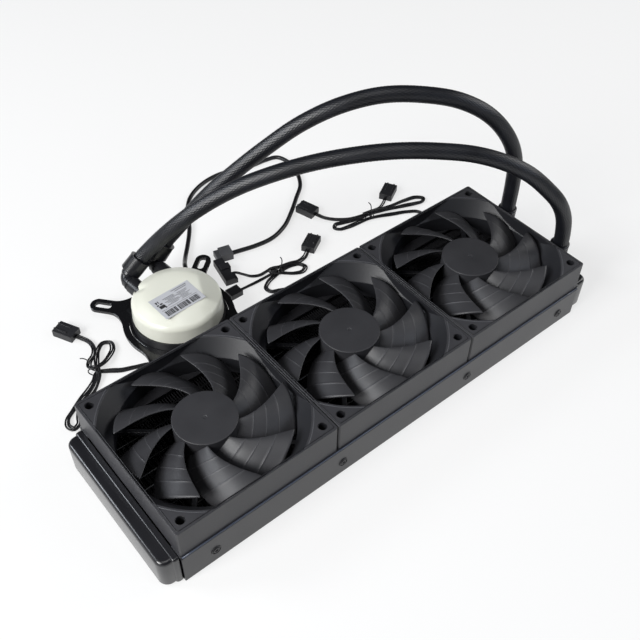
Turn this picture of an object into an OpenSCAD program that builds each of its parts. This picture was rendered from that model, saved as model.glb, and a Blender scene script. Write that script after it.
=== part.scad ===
// Liquid cooler for a computer processor: three fans on a radiator, two hoses and a pump.
// The origin is the middle of the radiator's underside. X runs to the end with the hose
// ports, Y runs towards the pump and Z is up. Sizes are in millimetres.

/* [Radiator] */
// Height of the radiator, from the floor to the face that carries the fans
rad_height = 27; // [26:0.5:32]
// Distance that a side rail stands out past the fans' grid on each side
rail_overhang = 1; // [0.5:0.5:3]
// Sheet thickness of the side rails
rail_sheet = 1.2; // [0.8:0.1:1.6]
// Width of the rail's two flanges
rail_flange = 11.5; // [11:0.5:13]
// Chamfer along the bends of the rail
rail_bend = 0.8; // [0.4:0.1:1.2]
// Length of an end tank outside its header plate
tank_length = 10; // [9:0.5:14]
// Distance that an end tank stands in from the rails' outside on each side
tank_inset = 3.5; // [2.5:0.5:5]
// Thickness of a header plate
header_thickness = 3; // [2:0.5:4]
// Distance that a header plate stands in from the rails' outside on each side
header_side_inset = 1.5; // [1:0.5:2]
// Corner radius of an end tank seen from above
tank_corner = 6; // [4:0.5:8]
// Radius along the long edges of an end tank
tank_edge = 3; // [2:0.5:4]
// Wall of an end tank
tank_wall = 1.6; // [1.2:0.1:2.2]

/* [Core] */
// Number of flat coolant tubes
tube_count = 12; // [10:1:12]
// Gap between the outer fin strips and the side rails
core_gap = 2.55; // [2:0.05:4]
// Thickness of a coolant tube
tube_thickness = 1.8; // [1.4:0.1:2.2]
// Depth of the tubes and fins, measured along Z
core_depth = 20; // [16:0.5:20]
// Wall of a coolant tube
tube_wall = 0.3; // [0.2:0.05:0.4]
// Length of one full wave of a folded fin strip
fin_wave = 12; // [10:1:20]
// Sheet thickness of a fin strip
fin_sheet = 0.25; // [0.2:0.05:0.4]
// Width of the two outer fin strips
outer_fin_width = 5.2; // [4:0.2:5.6]

/* [Fans] */
// Distance from one fan to the next
fan_pitch = 120; // [119:0.5:122]
// Gap between two fan frames
fan_seam = 0.7; // [0.4:0.1:1.2]
// Depth of a fan along its axis
fan_depth = 25; // [24:0.5:28]
// Distance from a fan's screw holes to the edges of the fans' grid
hole_edge = 7.5; // [7.2:0.1:8]
// Wall of the air duct where it comes nearest to the frame's sides
duct_wall = 1.45; // [1.2:0.05:2]
// Reach of the corner scoops past the frame's sides, at the top face
scoop_reach = 7.65; // [6:0.05:8.2]
// Depth of the corner scoops
scoop_depth = 11.5; // [9:0.5:13]
// Wall left outside the corner scoops
scoop_wall = 0.9; // [0.6:0.1:1.2]
// Wall around the hollows under the corners
corner_wall = 1.6; // [1.2:0.1:2]
// Depth of the hollows under the corners
corner_hollow = 10; // [6:0.5:10.5]
// Radius of the recess that a fan screw's head goes down
screw_recess_radius = 2.8; // [2.7:0.05:3.1]
// Thickness of frame under a fan screw's head
screw_seat = 4; // [3:0.5:6]
// Length of the chamfer on the frame's upright edges
frame_chamfer = 1; // [0.5:0.1:2]

/* [Motors] */
// Radius of the motor base
base_radius = 20.3; // [19.8:0.1:20.8]
// Thickness of the motor base
base_thickness = 1.6; // [1.2:0.1:2]
// Height of the rim round the motor base
base_rim = 3.4; // [2.5:0.1:3.6]
// Height of the struts that carry the motor base
strut_height = 3.2; // [2.5:0.1:3.6]
// Width of a strut
strut_width = 3.2; // [2.4:0.1:4]
// Radius of a fan shaft
shaft_radius = 1.5; // [1.4:0.05:1.6]
// Outer radius of the bearing sleeve
bearing_radius = 3; // [2.8:0.1:3.4]
// Wall of the tube that holds the bearing
bearing_tube_wall = 1.4; // [1:0.1:1.8]
// Running gap between a shaft and its bearing
running_gap = 0.03; // [0.02:0.01:0.06]
// Gap between the stator and the magnet ring
air_gap = 0.5; // [0.4:0.05:0.8]
// Height of the stator's iron core
stator_height = 9; // [7:0.5:10]

/* [Impellers] */
// Outer radius of the hub
hub_radius = 21.3; // [21:0.1:22]
// Wall of the hub
hub_wall = 1.7; // [1.4:0.1:2]
// Distance from the frame's top face down to the hub's top face
hub_drop = 1; // [0.6:0.1:2]
// Height of the hub above the motor base's rim
hub_lift = 1; // [0.8:0.1:1.4]
// Wall of the steel yoke inside the hub
yoke_wall = 1.2; // [1:0.1:1.4]
// Thickness of the magnet ring
magnet_thickness = 2.2; // [1.8:0.1:2.4]
// Number of blades
blade_count = 9; // [7:1:9]
// Gap between the blade tips and the duct
tip_gap = 1.1; // [0.8:0.1:1.6]
// Distance from the frame's top face down to the blades' leading edges
blade_drop = 3; // [2.5:0.1:5]
// Height of the blades' trailing edges above the frame's underside
blade_lift = 8.2; // [8:0.1:9]
// Thickness of a blade at its root
blade_thickness = 2; // [1.6:0.1:2.4]
// Thickness that a blade loses at each step
blade_step = 0.3; // [0.2:0.05:0.4]
// Angle by which a leading edge's root lags its tip
blade_sweep = 33; // [26:1:36]
// Angle from the leading to the trailing edge at the tip
tip_chord = 36; // [30:1:38]
// Angle from the leading to the trailing edge at the root
root_chord = 50; // [44:1:54]

/* [Hoses] */
// Outer diameter of the hoses
hose_diameter = 12; // [11:0.5:12.5]
// Distance of the hose ports from the end of the core
port_inset = 7.6; // [7.2:0.1:8]
// Y of the port of the near hose
near_port_y = -31; // [-34:1:-28]
// Y of the port of the far hose
far_port_y = 23; // [20:1:26]
// Height of the port bosses on the tank
port_boss_height = 4; // [3:0.5:6]
// Height of the ribbed collars on the radiator
ribbed_collar_height = 31; // [26:0.5:32]
// Wall of the ribbed collars
ribbed_collar_wall = 1; // [0.8:0.1:1.1]
// Gap between a collar and its hose
collar_gap = 0.1; // [0.05:0.05:0.2]
// Length of the plain collars at the pump
pump_collar_length = 13; // [11:0.5:15]
// Wall of the plain collars at the pump
pump_collar_wall = 2.1; // [1.4:0.1:2.2]

/* [Pump] */
// X of the pump's axis
pump_x = -67; // [-72:1:-62]
// Y of the pump's axis
pump_y = 119; // [117:1:124]
// Radius of the pump housing
housing_radius = 35.5; // [34.5:0.1:36]
// Height of the cold plate's working face above which the housing starts
plate_thickness = 3; // [2.5:0.1:4]
// Height of the lower drum of the housing
drum_height = 14; // [12:0.5:16]
// Height of the upper drum of the housing
turret_height = 10; // [9:0.5:11]
// Radius of the upper drum of the housing
turret_radius = 28; // [26:0.5:29]
// Radius of the cold plate
plate_radius = 30; // [28:0.5:32]
// Side of the square field of fins on the cold plate
microfin_field = 22; // [18:1:24]
// Number of fins on the cold plate
microfin_count = 14; // [8:1:18]
// Height of the cap
cap_height = 19.5; // [18.5:0.5:22]
// Outer radius of the cap at its foot
cap_radius = 34.5; // [34:0.1:35]
// Height of the cap's side wall, up to the crease
cap_side = 12.5; // [11:0.5:13.5]
// Wall of the cap
cap_wall = 2; // [1.6:0.1:2.4]
// Radius of the pump's impeller
vane_radius = 14; // [12:0.5:15]
// Radius of the pump rotor's magnet
pump_magnet_radius = 6.5; // [6:0.1:7]
// Radius of the pump's fixed shaft
pump_shaft_radius = 1.5; // [1.3:0.05:1.7]
// Gap between the pump rotor and its chamber
rotor_gap = 0.8; // [0.6:0.1:1.2]

/* [Bracket] */
// Height of the bracket's underside
bracket_z = 7; // [6:0.5:10]
// Thickness of the bracket
bracket_thickness = 3; // [2:0.5:4]
// Outer radius of the bracket's ring
bracket_ring = 43; // [42:0.5:45]
// Angle of the first arm from the X axis
bracket_turn = 40; // [36:1:50]
// Distance from the pump's axis to the middle of a slot
slot_reach = 61; // [58:0.5:64]
// Length of a slot
slot_length = 13; // [10:0.5:15]
// Width of a slot
slot_width = 5; // [4:0.1:5.5]
// Wall round a slot
slot_wall = 3.9; // [3:0.1:5]
// Width of the slits between the ring and the housing
slit_width = 2; // [1.4:0.1:2.6]

/* [Leads] */
// Diameter of the fan and pump leads
lead_diameter = 3.8; // [3:0.1:3.9]
// Length of a fan plug
plug_length = 17; // [14:0.5:19]
// Width of a fan plug
plug_width = 11.5; // [10:0.5:12]
// Height of a fan plug
plug_height = 6; // [5:0.5:7]
// Height of the folded hanks
hank_height = 5; // [4.5:0.1:5.5]

/* [Fasteners] */
// Radius of the thread of the fan screws
screw_radius = 1.5; // [1.4:0.05:1.6]
// Clearance round a fan screw
screw_gap = 0.1; // [0.05:0.01:0.15]
// Radius of a fan screw's head
screw_head_radius = 2.6; // [2.3:0.05:2.65]
// Height of a fan screw's head
screw_head_height = 2; // [1.5:0.1:2.5]
// Length of a fan screw under its head
screw_length = 6.8; // [6.2:0.1:7]
// Radius of the heads of the side screws
side_head_radius = 3.7; // [3:0.1:4]
// Height of the side screws above the floor
side_screw_z = 12; // [10:0.5:15]

/* [Hidden] */

$fn = 64;
// Overlap of a cut past the face it opens, and of a solid into the one it joins
cut = 1;
// A number that no real size comes near, for half spaces
far = 200;

// Radiator, worked out from the sizes above
rad_width = fan_pitch + 2 * rail_overhang;
tank_width = rad_width - 2 * tank_inset;
header_width = rad_width - 2 * header_side_inset;
core_length = 3 * fan_pitch;
core_end = core_length / 2;
header_end = core_end + header_thickness;
tank_end = header_end + tank_length;
core_bottom = (rad_height - core_depth) / 2;
rail_outside = rad_width / 2;
rail_inside = rail_outside - rail_sheet;
outer_tube_y = rail_inside - core_gap - outer_fin_width - tube_thickness / 2;
tube_pitch = 2 * outer_tube_y / (tube_count - 1);
tube_gap = tube_pitch - tube_thickness;
fan_x = [-fan_pitch, 0, fan_pitch];
side_screw_x = [-core_end + 23, -fan_pitch / 2 + 4, fan_pitch / 2 + 1, core_end - 19];
side_shank_radius = 1.9;
side_shank_length = 2.2;
side_head_height = 0.7;
tap_radius = screw_radius + screw_gap;
// The case's screws reach the fans' grid of holes from below through wider holes
case_hole_radius = 1.8;

// Fan levels, measured from the frame's underside
fan_size = fan_pitch - fan_seam;
hole_offset = fan_pitch / 2 - hole_edge;
duct_radius = fan_size / 2 - duct_wall;
scoop_radius = fan_size / 2 + scoop_reach;
rim_top = base_thickness + base_rim;
hub_bottom = rim_top + hub_lift;
hub_top = fan_depth - hub_drop;
hub_inside = hub_radius - hub_wall;
yoke_inside = hub_inside - yoke_wall;
magnet_inside = yoke_inside - magnet_thickness;
stator_radius = magnet_inside - air_gap;
hub_ceiling = hub_top - hub_wall;
yoke_top = hub_ceiling;
magnet_top = yoke_top - yoke_wall - 1;
bearing_bottom = base_thickness + 0.8;
bearing_top = bearing_bottom + 14.2;
shaft_bottom = base_thickness + 0.3;
shaft_top = hub_ceiling + 0.8;
board_bottom = base_thickness + 0.6;
board_thickness = 1.2;
stator_bottom = board_bottom + board_thickness + 1.6;
blade_tip = duct_radius - tip_gap;
blade_root = hub_radius - 0.9;

// Hose ends: the ports stand on the right tank and the elbows on the pump
hose_radius = hose_diameter / 2;
port_x = core_end + port_inset;
port_top = rad_height + port_boss_height;
elbow_reach = 48.5;
elbow_spread = 12.8;
elbow_azimuth = 95;
elbow_radius = 7.2;
stub_radius = 5.6;
neck_length = 8;
port_z = plate_thickness + drum_height + 8;
near_elbow_rise = 42;
far_elbow_rise = 50;
elbow_heading = -8;
boss_radius = 6.5;
boss_start = 16;
boss_reach = 38;
spigot_radius = 4;
spigot_length = 6;

function heading(azimuth, rise) =
    [cos(rise) * cos(azimuth), cos(rise) * sin(azimuth), sin(rise)];
function on_pump(along, across) =
    [pump_x, pump_y, 0]
    + along * heading(elbow_azimuth, 0)
    + across * heading(elbow_azimuth - 90, 0);

near_elbow = on_pump(elbow_reach, -elbow_spread) + [0, 0, port_z];
far_elbow = on_pump(elbow_reach, elbow_spread) + [0, 0, port_z];
near_way = heading(elbow_heading, near_elbow_rise);
far_way = heading(elbow_heading, far_elbow_rise);
collar_start = neck_length - 1;
collar_end = collar_start + pump_collar_length;

// Route of each hose, from its port on the radiator to its elbow on the pump
hose_1_route = concat(
    [[port_x, near_port_y, port_top], [port_x, near_port_y, 58]],
    [[186, -29, 73], [180, -25, 88], [171, -17, 101], [160, -8, 113], [147, 3, 122],
     [130, 17, 129], [108, 35, 132], [84, 54, 132], [60, 73, 128], [38, 91, 121],
     [17, 106, 113], [-3, 121, 102], [-20, 133, 90], [-36, 143, 77], [-49, 152, 63],
     [-58, 159, 51]],
    [near_elbow + (collar_end + 1) * near_way, near_elbow + neck_length * near_way]);
hose_2_route = concat(
    [[port_x, far_port_y, port_top], [port_x, far_port_y, 58]],
    [[187, 23, 75], [186, 24, 92], [182, 27, 108], [174, 33, 124], [162, 41, 138],
     [145, 53, 149], [123, 68, 155], [98, 85, 156], [74, 100, 150], [50, 116, 136],
     [28, 130, 117], [8, 142, 98], [-10, 152, 80], [-25, 160, 62], [-34, 165, 50]],
    [far_elbow + (collar_end + 1) * far_way, far_elbow + neck_length * far_way]);

// Pump levels
drum_top = plate_thickness + drum_height;
turret_top = drum_top + turret_height;
cap_top = drum_top + cap_height;
cap_crease = drum_top + cap_side;
board_z = turret_top + 0.4;
chamber_radius = vane_radius + rotor_gap;
chamber_top = 12;
can_radius = pump_magnet_radius + rotor_gap;
can_wall = 1;
can_top = turret_top - 3;
stator_seat = drum_top + 1;
rotor_bottom = 6.5;
vane_top = chamber_top - 1.2;
microfin_height = 2;
gasket_radius = 24.5;
gasket_width = 2;
gasket_height = 1;
plate_screw_count = 8;
plate_screw_reach = 27.8;
plate_screw_radius = 1.2;
plate_head_radius = 2;
plate_head_height = 1.5;
cable_exit_azimuth = 50;
cable_gland = [4, 7, 5];
cable_exit_z = bracket_z + bracket_thickness + cable_gland[2] / 2 + 0.3;
cable_exit_reach = housing_radius + 3;

// Leads: height of a lead's middle above the floor, and where each fan's lead leaves it
lead_radius = lead_diameter / 2;
lead_z = lead_radius + 0.4;
fan_wall = fan_size / 2;
lead_exit_z = rad_height + 4;

function flat(points) = [for (p = points) [p[0], p[1], lead_z]];
function flat_way(azimuth) = [cos(azimuth), sin(azimuth)];
function drop(x) = [[x, fan_wall, lead_exit_z], [x, fan_wall + 7, lead_exit_z]];

fan_1_route = concat(drop(-fan_pitch + 23), [[-97, 70, 23], [-97, 72, 13], [-98, 75.5, 5]],
    flat([[-99, 81], [-102, 91], [-107, 99], [-116, 103], [-126, 107], [-132, 112], [-136, 117]]));
fan_1_tail = flat([[-138, 124], [-133, 132], [-131, 142], [-133, 151], [-136, 157]]);
fan_2_route = concat(drop(32), [[32, 74, 22], [31, 83, 9]],
    flat([[27, 94], [17, 100], [9, 103], [8, 109], [14, 112.5], [22, 115.5]]));
fan_2_tail = flat([[30, 118], [40, 118], [50, 117], [57, 120], [62, 123]]);
fan_3_route = concat(drop(fan_pitch + 40), [[160, 74, 22], [163, 83, 9]],
    flat([[170, 93], [172, 102], [163, 109], [152, 114], [140, 119]]));
fan_3_tail = flat([[126, 127], [114, 134], [105, 141], [99, 149], [97, 156]]);
fan_3_branch_route = flat([[138, 125], [146, 127], [153, 130], [160, 134]]);
block_foot = [-11, 131];
block_azimuth = 78;
block_width = 8;
power_exit = block_foot + 10 * flat_way(block_azimuth)
    + block_width / 2 * flat_way(block_azimuth - 90);
power_route = flat([power_exit, power_exit + 4 * flat_way(block_azimuth - 90),
                    [3, 134], [7, 128], [13, 124.5], [20, 123.5]]);
power_tail = flat([[19, 119.4], [10, 119.5], [-2, 120], [-10, 120]]);
pump_cable_start = [pump_x, pump_y, 0]
    + (cable_exit_reach + cable_gland[0] / 2) * heading(cable_exit_azimuth, 0);
pump_cable_route = concat(
    [pump_cable_start + [0, 0, cable_exit_z],
     pump_cable_start + 6 * heading(cable_exit_azimuth, 0) + [0, 0, cable_exit_z]],
    [[-34, 161, 12], [-29, 170, 7]],
    flat([[-23, 179], [-13, 191], [0, 208], [11, 228], [24, 243], [41, 252], [60, 255], [78, 252],
          [95, 247], [110, 246], [121, 243], [125, 230], [121, 212], [112, 196],
          [98, 184], [82, 171], [66, 160], [48, 154], [31, 155], [18, 158], [10, 160]]));

// Hanks: the two ends of the middle line, and the width
fan_1_hank_line = [[-173, 92], [-124, 134]];
fan_1_hank_width = 13;
fan_2_hank_line = [[20, 120], [44, 112]];
fan_2_hank_width = 10;
fan_3_hank_line = [[105, 130], [182, 114]];
fan_3_hank_width = 12;
hank_foot = 0.3;

// Cable ties: how far along its hank each one stands
fan_1_tie_place = 40;
fan_2_tie_place = 7;
fan_3_tie_place = 27.5;
tie_band = 2;
tie_wall = 0.8;
tie_play = 0.12;

// Basic shapes
module rounded_slot(length, width) {
    // A flat shape with two round ends, centred, long side along X
    square([length - width, width], center = true);
    for (side = [-1, 1]) {
        translate([side * (length - width) / 2, 0]) circle(d = width);
    }
}

module ring(outer, inner, height) {
    difference() {
        cylinder(r = outer, h = height);
        translate([0, 0, -cut]) cylinder(r = inner, h = height + 2 * cut);
    }
}

module rounded_block(size, radius) {
    // A plate outline with four round corners, centred on X and Y
    square([size[0] - 2 * radius, size[1]], center = true);
    square([size[0], size[1] - 2 * radius], center = true);
    for (x = [-1, 1], y = [-1, 1]) {
        translate([x * (size[0] / 2 - radius), y * (size[1] / 2 - radius)]) circle(r = radius);
    }
}

// Swept tubes: a ring of points stands across the route at each of its points
function unit(v) = v / norm(v);
function along(route, i) =
    unit(route[min(i + 1, len(route) - 1)] - route[max(i - 1, 0)]);
function across(route, i) =
    let (up = [0, 0, 1], side = [1, 0, 0], way = along(route, i),
         base = abs(way * up) > 0.95 ? side : up)
    unit(base - (base * way) * way);
function carried(route, i) =
    // The direction across the route, carried on from the ring before
    i == 0 ? across(route, 0)
    : let (before = carried(route, i - 1), way = along(route, i))
      unit(before - (before * way) * way);
function tube_ring(centre, way, side, radius, sides) =
    let (other = cross(way, side))
    [for (k = [0 : sides - 1])
        centre + radius * (cos(360 * k / sides) * side + sin(360 * k / sides) * other)];

module tube(route, radius, sides) {
    rings = len(route);
    points = [for (i = [0 : rings - 1])
        each tube_ring(route[i], along(route, i), carried(route, i), radius, sides)];
    walls = [for (i = [0 : rings - 2], k = [0 : sides - 1])
        let (a = i * sides + k, b = i * sides + (k + 1) % sides)
        each [[a, a + sides, b], [b, a + sides, b + sides]]];
    first = [for (k = [0 : sides - 1]) k];
    last = [for (k = [0 : sides - 1]) rings * sides - 1 - k];
    polyhedron(points, concat(walls, [first, last]));
}

// Radiator
module tank_shell(corner, edge, shrink) {
    // The closed outline of a right end tank, made smaller all round by shrink
    length = tank_end - core_end - 2 * shrink;
    width = tank_width - 2 * shrink;
    height = rad_height - 2 * shrink;
    start = core_end + shrink;
    intersection() {
        translate([start, 0, shrink]) linear_extrude(height) union() {
            translate([0, -width / 2]) square([length - corner, width]);
            translate([0, -width / 2 + corner]) square([length, width - 2 * corner]);
            for (side = [-1, 1]) {
                translate([length - corner, side * (width / 2 - corner)]) circle(r = corner);
            }
        }
        translate([start, 0, rad_height / 2]) rotate([90, 0, 90]) linear_extrude(length)
            rounded_block([width, height], edge);
        translate([start, far / 2, rad_height / 2]) rotate([90, 0, 0]) linear_extrude(far)
            union() {
                translate([0, -height / 2]) square([length - edge, height]);
                translate([0, -height / 2 + edge]) square([length, height - 2 * edge]);
                for (side = [-1, 1]) {
                    translate([length - edge, side * (height / 2 - edge)]) circle(r = edge);
                }
            }
    }
}

module tube_outlines(thickness, depth) {
    for (i = [0 : tube_count - 1]) {
        translate([i * tube_pitch - outer_tube_y, rad_height / 2]) rotate(90)
            rounded_slot(depth, thickness);
    }
}

module end_tank(ports) {
    header_inset = 0.8;
    difference() {
        union() {
            tank_shell(tank_corner, tank_edge, 0);
            translate([core_end, 0, rad_height / 2]) rotate([90, 0, 90])
                linear_extrude(header_thickness)
                rounded_block([header_width, rad_height - 2 * header_inset], tank_edge);
            if (ports) {
                for (y = [near_port_y, far_port_y]) {
                    translate([port_x, y, rad_height - cut])
                        cylinder(r = hose_radius, h = port_boss_height + cut);
                }
            }
        }
        intersection() {
            tank_shell(tank_corner - tank_wall, tank_edge - tank_wall, tank_wall);
            translate([header_end, -far / 2, 0]) cube([far, far, rad_height]);
        }
        translate([core_end - cut, 0, 0]) rotate([90, 0, 90])
            linear_extrude(header_thickness + 2 * cut)
            tube_outlines(tube_thickness, core_depth);
        if (ports) {
            for (y = [near_port_y, far_port_y]) {
                translate([port_x, y, rad_height / 2])
                    cylinder(r = 3, h = rad_height / 2 + port_boss_height + cut);
            }
        }
    }
}

module left_end_tank() {
    color([0.09, 0.09, 0.1]) mirror([1, 0, 0]) end_tank(false);
}

module right_end_tank() {
    color([0.09, 0.09, 0.1]) end_tank(true);
}

module side_rail() {
    // The rail on the +Y side: a folded channel, open towards the core
    flange_start = rail_outside - rail_flange;
    color([0.13, 0.13, 0.14]) difference() {
        translate([-core_end, 0, 0]) rotate([90, 0, 90]) linear_extrude(core_length)
            polygon([
                [flange_start, 0], [rail_outside - rail_bend, 0], [rail_outside, rail_bend],
                [rail_outside, rad_height - rail_bend], [rail_outside - rail_bend, rad_height],
                [flange_start, rad_height], [flange_start, rad_height - rail_sheet],
                [rail_inside, rad_height - rail_sheet], [rail_inside, rail_sheet],
                [flange_start, rail_sheet]]);
        for (x = fan_x, side = [-1, 1]) {
            translate([x + side * hole_offset, hole_offset, -cut])
                cylinder(r = case_hole_radius, h = rail_sheet + 2 * cut);
            translate([x + side * hole_offset, hole_offset, rad_height - rail_sheet - cut])
                cylinder(r = tap_radius, h = rail_sheet + 2 * cut);
        }
        for (x = side_screw_x) {
            translate([x, rail_inside - cut, side_screw_z]) rotate([-90, 0, 0])
                cylinder(r = side_shank_radius, h = rail_sheet + 2 * cut);
        }
    }
}

module front_side_rail() {
    mirror([0, 1, 0]) side_rail();
}

module rear_side_rail() {
    side_rail();
}

module coolant_tubes() {
    length = 2 * (header_end + 1);
    color([0.16, 0.16, 0.17]) translate([-length / 2, 0, 0]) rotate([90, 0, 90])
        linear_extrude(length) difference() {
            tube_outlines(tube_thickness, core_depth);
            tube_outlines(tube_thickness - 2 * tube_wall, core_depth - 2 * tube_wall);
        }
}

module fin_strip(width) {
    // A sheet folded to and fro between two tubes, seen from above
    waves = floor((core_length - 4) / fin_wave);
    start = -waves * fin_wave / 2;
    reach = width / 2 - fin_sheet;
    line = [for (i = [0 : 2 * waves]) [start + i * fin_wave / 2, (i % 2 == 0 ? -1 : 1) * reach]];
    linear_extrude(core_depth) polygon(concat(
        [for (p = line) p + [0, fin_sheet]],
        [for (i = [len(line) - 1 : -1 : 0]) line[i] - [0, fin_sheet]]));
}

module cooling_fins() {
    color([0.11, 0.11, 0.12]) translate([0, 0, core_bottom]) {
        for (i = [0 : tube_count - 2]) {
            translate([0, (i + 0.5) * tube_pitch - outer_tube_y, 0]) fin_strip(tube_gap);
        }
        for (side = [-1, 1]) {
            translate([0, side * (outer_tube_y + (tube_thickness + outer_fin_width) / 2), 0])
                fin_strip(outer_fin_width);
        }
    }
}

module side_rail_screws() {
    recess_radius = 1.7;
    color([0.1, 0.1, 0.11]) for (x = side_screw_x, side = [-1, 1]) {
        translate([x, side * rail_outside, side_screw_z]) rotate([-90 * side, 0, 0])
            difference() {
                union() {
                    cylinder(r1 = side_head_radius, r2 = side_head_radius - 0.6,
                             h = side_head_height);
                    translate([0, 0, -side_shank_length])
                        cylinder(r = side_shank_radius, h = side_shank_length + 0.1);
                }
                translate([0, 0, -0.8]) cylinder(r = recess_radius, h = 2, $fn = 6);
            }
    }
}

module fan_screws() {
    color([0.12, 0.12, 0.13]) for (x = fan_x, dx = [-1, 1], dy = [-1, 1]) {
        translate([x + dx * hole_offset, dy * hole_offset, rad_height + screw_seat])
            difference() {
                union() {
                    cylinder(r = screw_head_radius, h = screw_head_height);
                    translate([0, 0, -screw_length]) cylinder(r = screw_radius, h = screw_length);
                }
                translate([0, 0, screw_head_height - 1]) cylinder(r = 1.2, h = 2, $fn = 6);
            }
    }
}

// Fans
module frame_outline() {
    half = fan_size / 2;
    c = frame_chamfer;
    polygon([[-half + c, -half], [half - c, -half], [half, -half + c], [half, half - c],
             [half - c, half], [-half + c, half], [-half, half - c], [-half, -half + c]]);
}

module corner_hollows() {
    // What is left of the square outside the duct, less a wall and a tube round each screw
    inside = fan_size - 2 * corner_wall;
    translate([0, 0, -cut]) linear_extrude(corner_hollow + cut) difference() {
        square(inside, center = true);
        circle(r = duct_radius + corner_wall);
        for (x = [-1, 1], y = [-1, 1]) {
            translate([x, y] * hole_offset) circle(r = screw_recess_radius + corner_wall);
        }
    }
}

module motor_base() {
    // Disc, rim and bearing tube, carried by four leaning struts
    lean = 4;
    for (k = [0 : 3]) {
        rotate(45 + 90 * k) linear_extrude(strut_height)
            polygon([[base_radius - 2, -strut_width / 2 - lean / 2],
                     [duct_radius + 0.6, -strut_width / 2 + lean / 2],
                     [duct_radius + 0.6, strut_width / 2 + lean / 2],
                     [base_radius - 2, strut_width / 2 - lean / 2]]);
    }
    cylinder(r = base_radius, h = base_thickness);
    ring(base_radius, base_radius - 1.3, rim_top);
    ring(bearing_radius + bearing_tube_wall, bearing_radius, bearing_top + 0.4);
}

module fan_frame() {
    color([0.2, 0.2, 0.21]) difference() {
        union() {
            difference() {
                linear_extrude(fan_depth) frame_outline();
                translate([0, 0, -cut]) cylinder(r = duct_radius, h = fan_depth + 2 * cut,
                                                 $fn = 120);
                intersection() {
                    translate([0, 0, fan_depth - scoop_depth])
                        cylinder(r1 = duct_radius, r2 = scoop_radius, h = scoop_depth,
                                 $fn = 120);
                    cube([fan_size - 2 * scoop_wall, fan_size - 2 * scoop_wall, far],
                         center = true);
                }
                translate([0, 0, fan_depth - cut / 10]) intersection() {
                    cylinder(r = scoop_radius, h = cut, $fn = 120);
                    cube([fan_size - 2 * scoop_wall, fan_size - 2 * scoop_wall, far],
                         center = true);
                }
                corner_hollows();
            }
            motor_base();
        }
        for (x = [-1, 1], y = [-1, 1]) {
            translate([x * hole_offset, y * hole_offset, 0]) {
                translate([0, 0, -cut]) cylinder(r = tap_radius, h = fan_depth);
                translate([0, 0, screw_seat])
                    cylinder(r = screw_recess_radius, h = fan_depth);
            }
        }
    }
}

function span_radius(i) =
    // Stations along a blade, in pairs where the blade steps down
    let (r1 = 31, r2 = 39.5, r3 = 47.5, half_step = 0.12)
    [blade_root, 25.5, r1 - half_step, r1 + half_step, 35.2, r2 - half_step, r2 + half_step,
     43.5, r3 - half_step, r3 + half_step, 52.4, blade_tip][i];
function steps_passed(i) = [0, 0, 0, 1, 1, 1, 2, 2, 2, 3, 3, 3][i];
function chord_share(j) = [0, 0.34, 0.62, 0.83, 1][j];
function blade_point(i, j, side) =
    // One point of a blade: station i along it, share j of its chord, side +1 up or -1 down
    let (r = span_radius(i),
         s = (r - blade_root) / (blade_tip - blade_root),
         u = chord_share(j),
         angle = -blade_sweep * pow(1 - s, 1.3) - u * (root_chord + (tip_chord - root_chord) * s),
         top = fan_depth - blade_drop,
         z = top - (top - blade_lift - blade_thickness / 4) * pow(u, 1.5 + 1.5 * s),
         thickness = blade_thickness - blade_step * steps_passed(i),
         half = thickness * (0.3 + 0.2 * sin(180 * u)))
    [r * cos(angle), r * sin(angle), z + side * half];

module blade() {
    spans = 12;
    chords = 5;
    face = spans * chords;
    points = [for (side = [1, -1], i = [0 : spans - 1], j = [0 : chords - 1])
        blade_point(i, j, side)];
    upper = [for (i = [0 : spans - 2], j = [0 : chords - 2])
        let (a = i * chords + j, b = a + chords)
        each [[a, b, a + 1], [b, b + 1, a + 1]]];
    lower = [for (t = upper) [t[0] + face, t[2] + face, t[1] + face]];
    leading = [for (i = [0 : spans - 2])
        let (a = i * chords, b = a + chords)
        each [[a, a + face, b], [b, a + face, b + face]]];
    trailing = [for (i = [0 : spans - 2])
        let (a = i * chords + chords - 1, b = a + chords)
        each [[a, b, a + face], [b, b + face, a + face]]];
    root = [for (j = [0 : chords - 2])
        each [[j, j + 1, j + face], [j + 1, j + 1 + face, j + face]]];
    last = (spans - 1) * chords;
    tip = [for (j = [0 : chords - 2])
        let (a = last + j)
        each [[a, a + face, a + 1], [a + 1, a + face, a + 1 + face]]];
    polyhedron(points, concat(upper, lower, leading, trailing, root, tip));
}

module impeller() {
    rim_round = 0.8;
    boss_radius = shaft_radius + 2;
    first_blade = 33;
    color([0.2, 0.2, 0.21]) difference() {
        union() {
            rotate_extrude() polygon([
                [0, hub_ceiling], [hub_inside, hub_ceiling], [hub_inside, hub_bottom],
                [hub_radius, hub_bottom], [hub_radius, hub_top - rim_round],
                [hub_radius - rim_round, hub_top], [0, hub_top]]);
            translate([0, 0, yoke_top - 3]) cylinder(r = boss_radius, h = 3.5);
            for (k = [0 : blade_count - 1]) {
                rotate(first_blade + k * 360 / blade_count) blade();
            }
        }
        translate([0, 0, hub_bottom]) cylinder(r = shaft_radius, h = shaft_top - hub_bottom);
        translate([0, 0, hub_top - 0.3]) cylinder(r = 1.2, h = 1);
    }
}

module rotor_yoke() {
    boss_radius = shaft_radius + 2;
    color([0.5, 0.5, 0.52]) difference() {
        translate([0, 0, hub_bottom + 1]) cylinder(r = hub_inside, h = yoke_top - hub_bottom - 1);
        translate([0, 0, hub_bottom])
            cylinder(r = yoke_inside, h = yoke_top - yoke_wall - hub_bottom);
        cylinder(r = boss_radius, h = fan_depth);
    }
}

module magnet_ring() {
    color([0.25, 0.23, 0.22]) translate([0, 0, hub_bottom + 1.5])
        ring(yoke_inside, magnet_inside, magnet_top - hub_bottom - 1.5);
}

module shaft() {
    color([0.75, 0.75, 0.77]) translate([0, 0, shaft_bottom])
        cylinder(r = shaft_radius, h = shaft_top - shaft_bottom);
}

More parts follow.
